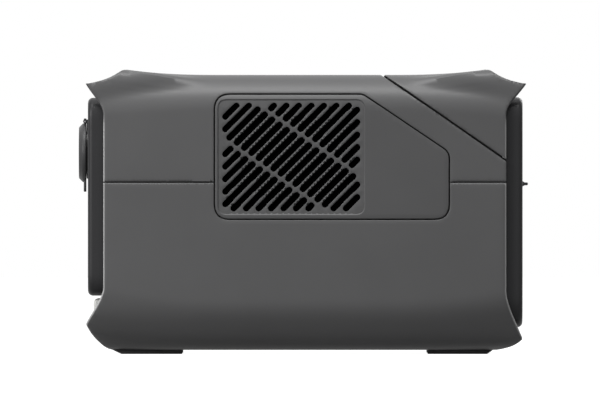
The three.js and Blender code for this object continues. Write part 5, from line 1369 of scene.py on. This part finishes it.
def white_for_camera(tree, glossy_share):
    """1 for rays from the camera or through glass, a share for rays from a reflection, else 0."""
    path = tree.nodes.new("ShaderNodeLightPath")
    reflected = math_node(tree, "MULTIPLY", path.outputs["Is Glossy Ray"], glossy_share)
    seen = math_node(tree, "MAXIMUM", path.outputs["Is Camera Ray"], reflected)
    return math_node(tree, "MAXIMUM", seen, path.outputs["Is Transmission Ray"])


floor_mesh = bpy.data.meshes.new("floor")
floor_mesh.from_pydata(floor_corners, [], [(0, 1, 2, 3)])
add_object("floor", floor_mesh)
floor_white, floor_tree, floor_shader = new_material("floor white")
floor_shader.inputs["Base Color"].default_value = (floor_colour, floor_colour, floor_colour, 1)
floor_shader.inputs["Roughness"].default_value = 0.9
floor_shader.inputs["Emission Color"].default_value = (1, 1, 1, 1)
floor_glow = math_node(floor_tree, "MULTIPLY", white_for_camera(floor_tree, floor_reflected), floor_strength)
floor_tree.links.new(floor_glow, floor_shader.inputs["Emission Strength"])
floor_mesh.materials.append(floor_white)

world = bpy.data.worlds.new("studio")
bpy.context.scene.world = world
world.use_nodes = True
world_tree = world.node_tree
background = world_tree.nodes["Background"]
seen_white = math_node(world_tree, "MULTIPLY", white_for_camera(world_tree, 1), 1 - world_light)
world_strength = math_node(world_tree, "ADD", seen_white, world_light)
background.inputs["Color"].default_value = (1, 1, 1, 1)
world_tree.links.new(world_strength, background.inputs["Strength"])

# Each lamp: name, place and target in metres, size in metres, power in watts
lamp_rows = (
    ("top light", (0, 0, 1.8), (0, -0.05, 0.1), (1.6, 0.45), 5),
    ("upper light", (-0.1, -0.7, 1.75), (0, -0.05, 0.1), (1.6, 0.6), 52),
    ("left light", (-1.1, -0.9, 0.5), (-0.05, -0.1, 0.1), (0.5, 0.5), 16),
    ("back light", (0.8, 1.7, 0.9), (0, 0.1, 0.1), (1.0, 0.6), 10),
)
for name, place, target, size, power in lamp_rows:
    lamp_data = bpy.data.lights.new(name, "AREA")
    lamp_data.shape = "RECTANGLE"
    lamp_data.size, lamp_data.size_y = size
    lamp_data.energy = power
    lamp = add_object(name, lamp_data)
    lamp.location = place
    lamp.rotation_euler = (Vector(target) - Vector(place)).to_track_quat("-Z", "Y").to_euler()
bpy.context.scene.view_settings.view_transform = "Standard"
print("lamps:", len(bpy.data.lights))
